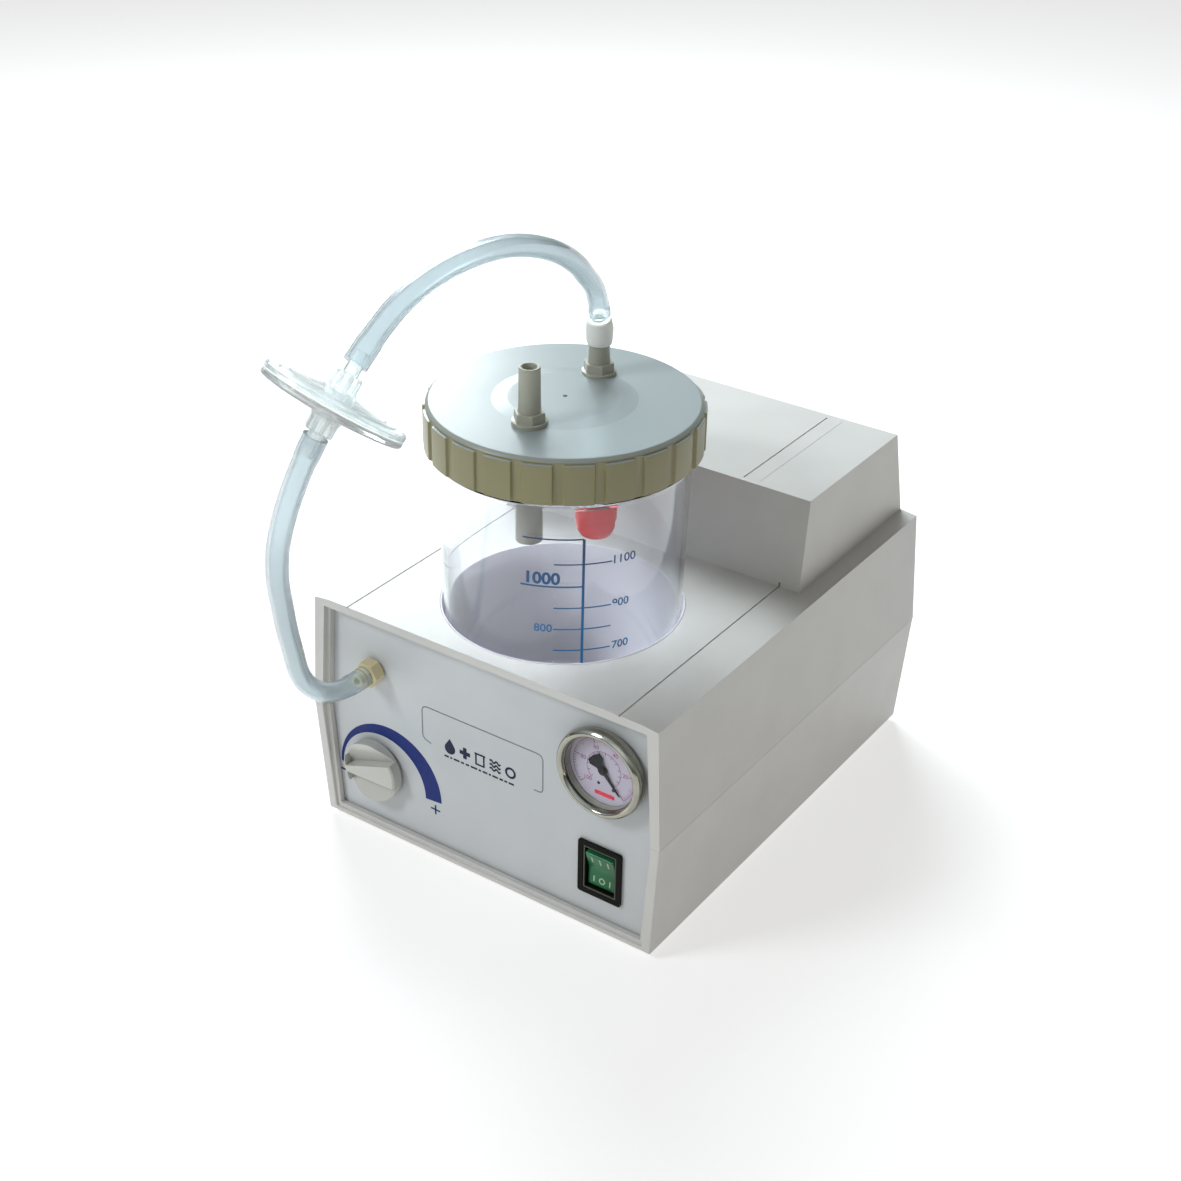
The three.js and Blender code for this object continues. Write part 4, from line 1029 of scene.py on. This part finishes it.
def port(at, top, foot_z):
    """Hose stub with a round foot flange, a six-sided collar and an open bore."""
    tube_part = lathe([
        (3.2, foot_z), (4.1, foot_z), (4.1, LID_Z - 0.3), (8.1, LID_Z - 0.3), (8.1, LID_Z + 1.9, 0.5),
        (5.3, LID_Z + 2.4, 0.3), (5.0, COLLAR_Z + 8), (4.8, top - 0.6, 0.4), (4.5, top, 0.3), (3.6, top, 0.3),
        (3.2, top - 1.2, 0.5)], (*at, 0), 72)
    hexagon = arc_points(0, 0, 7.5, [TAU * k / 6 + 0.3 for k in range(6)])
    low = [(at[0] + x, at[1] + y, LID_Z + 1.6) for x, y in hexagon]
    high = [(at[0] + x * 0.96, at[1] + y * 0.96, COLLAR_Z + 4.2) for x, y in hexagon]
    return merge(tube_part, carve(loft(low, high), [drill(at, 4.3, *THROUGH_LID)]))


skin("patient_port", port(PATIENT, COLLAR_Z + 25, 206), "port", "ivory_plastic", "lid", bevel=0.35)
skin("vacuum_port", port(VACUUM, COLLAR_Z + 18, 222), "port", "ivory_plastic", "lid", bevel=0.35)
DIP_END_Z = corners("dip_tube")[0].z
dip_tube = lathe([(4.5, DIP_END_Z, 0.4), (6.05, DIP_END_Z, 0.4), (6.05, LID_Z - 2.8), (4.5, LID_Z - 2.8)],
                 (*PATIENT, 0), 72)
skin("dip_tube", dip_tube, "grey", "grey_plastic", "lid")

CUFF_Z = (COLLAR_Z + 13, COLLAR_Z + 25.5)
cuff = lathe([(5.2, CUFF_Z[0], 0.3), (5.6, CUFF_Z[0], 0.3), (6.1, CUFF_Z[0] + 2, 1), (6.4, CUFF_Z[1] - 5, 2),
              (5.9, CUFF_Z[1] - 0.8, 0.8), (5.2, CUFF_Z[1], 0.3), (3.2, CUFF_Z[1]), (3.2, CUFF_Z[0] + 5.3),
              (5.2, CUFF_Z[0] + 5.3)], (*VACUUM, 0), 72)
CUFF_LEAN = radians(12)  # its soft upper end leans with the hose
lean_from = CUFF_Z[0] + 6
lean_axis = Vector((0.97, 0.26, 0))
for v in cuff.verts:
    share = max(0.0, v.co.z - lean_from) / (CUFF_Z[1] - lean_from)
    foot = Vector((*VACUUM, lean_from))
    v.co = foot + Matrix.Rotation(CUFF_LEAN * share, 3, lean_axis) @ (v.co - foot)
skin("hose_cuff", cuff, "cuff", "ivory_plastic", "lid")

FLOAT_Z = corners("float_cup")[0].z
STEM_MOUTH_Z = corners("float_stem")[0].z
stem = lathe([
    (4.4, LID_Z - 2.8), (4.4, STEM_MOUTH_Z, 0.3), (7.4, STEM_MOUTH_Z, 0.4), (7.4, STEM_MOUTH_Z + 1.6, 0.4),
    (5.8, STEM_MOUTH_Z + 2.4), (5.8, LID_Z - 6), (9, LID_Z - 4.6, 0.5), (9, LID_Z - 2.8)], (*VACUUM, 0), 72)
skin("float_stem", stem, "grey", "grey_plastic", "lid")
float_cup = lathe([
    (0, FLOAT_Z), (3.6, FLOAT_Z + 0.2, 3), (7.6, FLOAT_Z + 1.6, 3), (9.3, FLOAT_Z + 5, 3), (9.5, FLOAT_Z + 9.4),
    (10.2, FLOAT_Z + 10, 0.4), (10.2, STEM_MOUTH_Z + 5.4, 0.5), (6.2, STEM_MOUTH_Z + 5.4, 0.3),
    (6.2, STEM_MOUTH_Z + 3.6), (8.2, STEM_MOUTH_Z + 2.7), (8.2, FLOAT_Z + 6, 1), (6.2, FLOAT_Z + 3.9),
    (0, FLOAT_Z + 2)], (*VACUUM, 0), 72, closed=False)
skin("float_cup", float_cup, "red", "red_plastic", "float")

# ------------------------------------------------------------------ panel nozzle
FRONT = (0, -1, 0)
nozzle_at = (NOZZLE[0], PANEL_Y, NOZZLE[1])
nozzle = lathe([
    (1.8, -16), (4.7, -16), (4.7, 0.2), (5.6, 0.2), (5.6, 1.4, 0.4), (4.4, 1.8), (4.4, 6), (3.2, 7), (3.2, 8),
    (3.9, 8.2), (3.3, 10.2), (3.9, 10.6), (3.3, 12.6), (3, 14, 0.3), (1.8, 14)], nozzle_at, 72, FRONT)
nozzle_hex = carve(prism(circle(*NOZZLE, 6.9, 6), PANEL_Y - 7.4, PANEL_Y - 1.2),
                   [prism(circle(*NOZZLE, 4.3, 48), PANEL_Y - 8, PANEL_Y)])
skin("inlet_nozzle", merge(nozzle, nozzle_hex), "ivory", "ivory_plastic", bevel=0.5, smooth=30)

# ------------------------------------------------------------------ vacuum gauge
gauge_at = (GAUGE_X, PANEL_Y, GAUGE_Z)
bezel = lathe([
    (19.8, 0.3), (21.2, 0.3, 0.6), (22.3, 1.8, 1.2), (GAUGE_R, 4.2, 1.6), (22.3, 6.6, 2.0), (20.9, 8.0, 2.0),
    (19.4, 7.6, 1.4), (18.8, 6.2, 0.8), (18.6, 5.4), (19.8, 5.2)], gauge_at, 160, FRONT, arc=8)
piece("gauge_bezel_chrome", bezel, "chrome", "root", "chrome", ("gauge_bezel",), smooth=50)
case = lathe([(3.4, -17), (19.0, -17, 0.8), (19.5, -16), (19.5, 2), (18.5, 2), (18.5, -16), (3.4, -16)],
             gauge_at, 96, FRONT)
skin("gauge_case", case, "black", "black_plastic")
wall_ring = lathe([(18.2, 1.4), (18.45, 1.4), (18.45, 5.1), (18.2, 5.1)], gauge_at, 128, FRONT)
piece("gauge_inner_ring", wall_ring, "grey", "root", "black_plastic")
dial = lathe([(1.3, 0.4), (18.2, 0.4), (18.2, 1.2), (1.3, 1.2)], gauge_at, 128, FRONT)
piece("gauge_dial_plate", dial, "dial", "root", "dial", ("gauge_dial",))
lens = lathe([(0, 3.9), (18.5, 3.9, 0.2), (18.5, 4.9, 0.3), (0, 4.9)], gauge_at, 128, FRONT, closed=False)
piece("gauge_window", lens, "lens", "root", "gauge_glass", ("gauge_lens",))

DIAL_Y = PANEL_Y - 1.2
DIAL_ZERO = -49  # degrees, where the needle rests
DIAL_SWEEP = 270


def dial_point(degrees, r):
    a = radians(degrees)
    return (GAUGE_X + r * cos(a), GAUGE_Z + r * sin(a))


def dial_marks():
    marks = []
    for k in range(51):
        a = DIAL_ZERO + DIAL_SWEEP * k / 50
        r0 = 13.2 if k % 10 == 0 else 14.2 if k % 5 == 0 else 15.0
        marks += strip([dial_point(a, r0), dial_point(a, 16.4)], 0.34 if k % 10 == 0 else 0.2)
    ring_line = [dial_point(DIAL_ZERO + DIAL_SWEEP * k / 60, 16.4) for k in range(61)]
    inner_line = [dial_point(DIAL_ZERO + DIAL_SWEEP * k / 60, 9.0) for k in range(61)]
    return marks + strip(ring_line, 0.2) + strip(inner_line, 0.2)


printed("gauge_scale", dial_marks(), "magenta_ink", DIAL_Y, "dial")
inner_ticks = []
for k in range(13):
    a = DIAL_ZERO + DIAL_SWEEP * k / 12
    inner_ticks += strip([dial_point(a, 7.6), dial_point(a, 9.0)], 0.24)
printed("gauge_inner_scale", inner_ticks, "navy_ink", DIAL_Y, "dial")
dots = [circle(GAUGE_X + dx, GAUGE_Z + dz, 0.8, 24) for dx, dz in ((-2.6, -8.0), (5.2, -9.2))]
printed("gauge_dial_rivets", dots, "black_ink", DIAL_Y, "dial")
red_bar = plate(GAUGE_X - 4.6, GAUGE_X + 6, GAUGE_Z - 14.3, GAUGE_Z - 12.2, 0.5)
printed("gauge_red_bar", [red_bar], "red_ink", DIAL_Y, "dial")


def dial_numbers():
    bm = bmesh.new()
    for k in range(6):
        x, z = dial_point(DIAL_ZERO + DIAL_SWEEP * k / 5, 11.3)
        number = digits(str(k * 20), x, z - 1.0, 3.0)
        for v in number.verts:
            v.co.y += DIAL_Y
        merge(bm, number)
    return bm


piece("gauge_numbers", dial_numbers(), "magenta_ink", "root", "dial", smooth=30)


def needle():
    """Fine pointer with a spade-shaped tail on a round boss."""
    outline = [(13.9, 0.2), (13.9, -0.2), (2.2, -0.8), (0, -2), (-2.4, -1.9), (-5.2, -4.1), (-7.6, -3.7),
               (-8.3, 0), (-7.6, 3.7), (-5.2, 4.1), (-2.4, 1.9), (0, 2), (2.2, 0.8)]
    c, s = cos(radians(DIAL_ZERO)), sin(radians(DIAL_ZERO))
    turned = [(GAUGE_X + x * c - z * s, GAUGE_Z + x * s + z * c) for x, z in outline]
    bm = prism(turned, PANEL_Y - 2.5, PANEL_Y - 2.0)
    lathe([(0, -7), (0.9, -7), (0.9, 1.6), (2.3, 1.7, 0.2), (2.3, 2.9, 0.5), (1.2, 3.2, 0.2), (0, 3.2)],
          gauge_at, 48, FRONT, closed=False, bm=bm)
    return bm


skin("gauge_needle", needle(), "black_ink", "black_plastic", "needle", smooth=30)

# ------------------------------------------------------------------ rocker switch
SWITCH_HALF = ((SWITCH_BOX[1].x - SWITCH_BOX[0].x) / 2, (SWITCH_BOX[1].z - SWITCH_BOX[0].z) / 2)
SWITCH_PROUD = PANEL_Y - SWITCH_BOX[0].y


def switch_frame():
    x, y, z = SWITCH_X, PANEL_Y, SWITCH_Z
    w, h = SWITCH_HALF
    outer = plate(x - w, x + w, z - h, z + h, 1.6)
    body = brick(x, 10, (y - 1, y + 22), z, 13.1)
    pocket = brick(x, 8.2, (y - 5, y + 14), z, 11.2)
    step = brick(x, 9.2, (y - 5, y - 0.7), z, 12.2)
    return carve(prism(outer, y - SWITCH_PROUD, y - 0.3), [pocket, step], [body])


skin("switch_frame", switch_frame(), "black", "black_plastic", bevel=0.4)
inner_rim = carve(brick(SWITCH_X, 9.1, (PANEL_Y - 1.15, PANEL_Y - 0.72), SWITCH_Z, 12.1),
                  [brick(SWITCH_X, 8.3, (PANEL_Y - 3, PANEL_Y), SWITCH_Z, 11.3)])
piece("switch_inner_rim", inner_rim, "olive", "root", "black_plastic", bevel=0.12, segments=2)

ROCKER_PIVOT = Vector((SWITCH_X, PANEL_Y + 7.2, SWITCH_Z))
ROCKER_TILT = radians(8)
ROCKER_HALF = 7.8


def rocker_space(p):
    """From the rocker's own axes (across, up, out) to the part's axes, at rest."""
    x, up, out = p
    c, s = cos(ROCKER_TILT), sin(ROCKER_TILT)
    return ROCKER_PIVOT + Vector((x, -(up * s + out * c), up * c - out * s))


def rocker():
    side = rounded([(-10.6, 3.4), (-9, -3.5), (9, -3.5), (10.6, 3.4), (9.8, 7.6, 0.9), (0, 5.8, 12),
                    (-9.8, 7.6, 0.9)], steps=8)
    return loft(*([rocker_space((x, p.x, p.y)) for p in side] for x in (-ROCKER_HALF, ROCKER_HALF)))


skin("rocker", rocker(), "green", "green_rocker", "rocker_button", bevel=0.45)


def rocker_face(up):
    return 5.8 + 1.8 * min(1.0, max(0.0, (abs(up) - 1.5) / 8.3)) + 0.16


def rocker_marks():
    """Generic marks: three bars on the upper half, and a ring between two bars on the lower half."""
    marks = [[(x - 0.4, 4.2), (x + 0.4, 4.2), (x + 0.4, 8.4), (x - 0.4, 8.4)] for x in (-4.4, 0, 4.4)]
    marks += [[(x - 0.35, -7.4), (x + 0.35, -7.4), (x + 0.35, -4.2), (x - 0.35, -4.2)] for x in (-4.4, 4.4)]
    marks += icon_ring(0, -5.8, 1.7)
    bm = raised(marks, -0.05, 0.25)
    for v in bm.verts:
        x, depth, up = v.co
        v.co = rocker_space((x, up, rocker_face(up) - depth))
    return bm


piece("rocker_marks", rocker_marks(), "mark", "rocker_button", "green_rocker", smooth=30)

# ------------------------------------------------------------------ regulator knob
KNOB_TURN = radians(191)
KNOB_R = 16
KNOB_H = 8


def knob():
    """Low round knob: two scoops slope down from its rim to the walls of a wedge-shaped grip."""
    at = (KNOB[0], PANEL_Y, KNOB[1])
    bm = lathe([(0, 1.2), (KNOB_R - 0.5, 1.2, 0.3), (KNOB_R, 1.9, 0.4), (KNOB_R, KNOB_H - 1, 0.6),
                (KNOB_R - 0.9, KNOB_H, 0.9), (0, KNOB_H)], steps=144, closed=False)
    tools = []
    for s in (-1, 1):
        out = KNOB_R * 1.3
        low, high = KNOB_H - 5, KNOB_H + 1
        tool = bmesh.new()
        v = [tool.verts.new(c) for c in (
            (KNOB_R - 1.6, s * 2, low), (-out, s * 7.9, low), (-out, s * out, high), (KNOB_R - 1.6, s * out, high),
            (KNOB_R - 1.6, s * 1.6, high), (-out, s * 7.2, high))]
        for face in ((0, 1, 2, 3), (0, 4, 5, 1), (4, 3, 2, 5), (0, 3, 4), (1, 5, 2)):
            tool.faces.new([v[i] for i in face])
        tools.append(tool)
    tools.append(drill((0, 0), 3.1, 0, 5.9, 40))
    bm = carve(bm, tools)
    turn = Matrix.Rotation(KNOB_TURN, 3, "Z")
    for v in bm.verts:
        p = turn @ v.co
        v.co = Vector(at) + Vector((p.x, -p.z, p.y))
    return bm


skin("regulator_knob", knob(), "knob", "knob", "knob", bevel=0.5)

# ------------------------------------------------------------------ rear fittings
REAR = (0, 1, 0)


def power_inlet():
    x, y, z = INLET_X, REAR_Y, INLET_Z
    flange = prism(plate(x - 15.5, x + 15.5, z - 25.5, z + 25.5, 2), y + 0.3, y + 2)
    body = brick(x, 13.5, (y - 22, y + 1), z, 23.5)
    socket = prism(rounded([(x - 12, z - 14, 1), (x + 12, z - 14, 1), (x + 12, z - 1, 0.6), (x + 7.5, z + 4, 0.6),
                            (x - 7.5, z + 4, 0.6), (x - 12, z - 1, 0.6)], steps=4), y - 16, y + 5)
    drawer = block((x - 12, x + 12), (y - 18, y + 5), (z + 7, z + 19.6))
    return carve(flange, [socket, drawer], [body])


skin("power_inlet", power_inlet(), "black", "black_plastic", bevel=0.35)
pins = bmesh.new()
for x, z in ((-7, -3), (7, -3), (0, -7)):
    block((INLET_X + x - 1, INLET_X + x + 1), (REAR_Y - 20, REAR_Y - 6), (INLET_Z + z - 2, INLET_Z + z + 2), pins)
piece("power_inlet_pins", pins, "steel", "root", "steel", bevel=0.35)


def fuse_drawer():
    x, y, z = INLET_X, REAR_Y, INLET_Z
    face = block((x - 11.7, x + 11.7), (y + 0.6, y + 2.6), (z + 7.4, z + 19.2))
    tray = block((x - 10, x + 10), (y - 16, y + 1), (z + 8.2, z + 18.4))
    nick = block((x - 4, x + 4), (y + 1.6, y + 4), (z + 17.6, z + 20))
    pockets = [block((x + a, x + b), (y - 14.5, y - 0.6), (z + 10.2, z + 20))
               for a, b in ((-8, -0.8), (0.8, 8))]
    return carve(face, [nick, *pockets], [tray])


skin("fuse_drawer", fuse_drawer(), "black", "black_plastic", "fuse_tray", bevel=0.3, segments=2)
fuses = bmesh.new()
for dx in (-4.4, 4.4):
    at = (INLET_X + dx, REAR_Y - 14, INLET_Z + 14.2)
    lathe([(0, 0), (2.5, 0, 0.3), (2.5, 13, 0.3), (0, 13)], at, 32, REAR, closed=False, bm=fuses)
piece("fuses", fuses, "steel", "fuse_tray", "steel")

outlet = lathe([(2, 0), (9, 0), (10, 2, 0.5), (10, 26, 1), (6.1, 28, 0.5), (6.1, 35, 0.6), (5, 36, 0.3),
                (2, 36, 0.4)], (EXHAUST[0], REAR_Y - 32, EXHAUST[1]), 64, REAR)
skin("exhaust_silencer", outlet, "black", "black_plastic")

# ------------------------------------------------------------------ materials of the carried-over CAD nodes
CAD_LOOKS = {
    "silicone": ["lid_gasket", "pump_suction_tube", "nozzle_tube"],
    "cuff": ["filter_membrane"],
    "rubber": ["float_seal", "piston_seal", *[f"vibration_mount_{i}" for i in range(1, 5)]],
    "brass": ["gauge_stem", "regulator_spindle", "regulator_body"],
    "steel": ["pump_plate", "motor_bearing_1", "motor_bearing_2", "rotor", "crank", "crank_bearing"],
    "aluminium": ["motor_bracket_1", "motor_bracket_2", "piston_rod", "cylinder", "crankcase", "cylinder_head"],
    "winding": ["motor_stator"],
    "black": ["cooling_fan"],
}
for look, nodes in CAD_LOOKS.items():
    for name in nodes:
        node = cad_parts[name]
        node.data.materials.clear()
        node.data.materials.append(LOOK[look])

# ------------------------------------------------------------------ studio
FLOOR_HALF = 6.0
floor_mesh = bpy.data.meshes.new("floor")
floor_corners = [(x * FLOOR_HALF, y * FLOOR_HALF, 0) for x, y in ((-1, -1), (1, -1), (1, 1), (-1, 1))]
floor_mesh.from_pydata(floor_corners, [], [(0, 1, 2, 3)])
floor = placed("floor", floor_mesh)
floor_look, floor_tree, floor_bsdf = new_material("studio_floor")
wire(floor_tree, floor_bsdf, {
    "Base Color": (0.52, 0.52, 0.52, 1), "Roughness": 0.9, "Specular IOR Level": 0.1,
    "Emission Color": (1, 1, 1, 1), "Emission Strength": 0.60})
floor_mesh.materials.append(floor_look)


def soft_light(name, at, aim_at, size, power, color=(1, 1, 1)):
    data = bpy.data.lights.new(name, "AREA")
    data.shape = "RECTANGLE"
    data.size, data.size_y = size
    data.energy = power
    data.color = color
    lamp = placed(name, data)
    lamp.location = at
    lamp.rotation_euler = (Vector(aim_at) - Vector(at)).to_track_quat("-Z", "Y").to_euler()
    return lamp


MIDDLE = (0, 0, 0.12)
soft_light("key", (-1.05, -1.52, 1.62), MIDDLE, (0.6, 0.6), 22.5, (0.92, 0.975, 1.0))
window = soft_light("window", (-0.62, 0.62, 1.0), (0, 0.04, 0.16), (0.75, 0.55), 20.5, (0.87, 0.965, 1.0))
window.visible_glossy = False
soft_light("fill", (0.7, -1.8, 1.3), MIDDLE, (1.4, 1.2), 2.6, (1.0, 0.965, 0.92))
# a bright card that only shows as the sheen on the left of the lid and the jar
card = soft_light("card", (-1.08, 0.78, 0.74), (-0.05, -0.05, 0.23), (0.62, 0.5), 11, (0.9, 0.97, 1.0))
card.visible_diffuse = False

# The studio's glow is even, but its reflections show a darker band round the horizon.
world = bpy.data.worlds.new("studio")
bpy.context.scene.world = world
world.use_nodes = True
tree = world.node_tree
background = wire(tree, tree.nodes["Background"], {"Color": (1, 0.955, 0.885, 1), "Strength": 0.225})
height = add(tree, "ShaderNodeSeparateXYZ",
             links={"Vector": add(tree, "ShaderNodeTexCoord").outputs["Generated"]})
sky = ramp(tree, height.outputs["Z"], (0.10, 0.095, 0.06), (0.62, 0.72, 0.80), (0.02, 0.55))
mirrored = add(tree, "ShaderNodeBackground", links={"Color": sky})
path = add(tree, "ShaderNodeLightPath")
either = add(tree, "ShaderNodeMixShader", links={
    "Fac": path.outputs["Is Glossy Ray"], 1: background.outputs["Background"], 2: mirrored.outputs["Background"]})
# seen directly, beyond the edge of the floor, the studio is plain and pale
backdrop = add(tree, "ShaderNodeBackground", {"Color": (0.78, 0.785, 0.785, 1)})
seen = add(tree, "ShaderNodeMixShader", links={
    "Fac": path.outputs["Is Camera Ray"], 1: either.outputs["Shader"], 2: backdrop.outputs["Background"]})
wire(tree, tree.nodes["World Output"], links={"Surface": seen.outputs["Shader"]})
bpy.context.scene.view_settings.view_transform = "Standard"
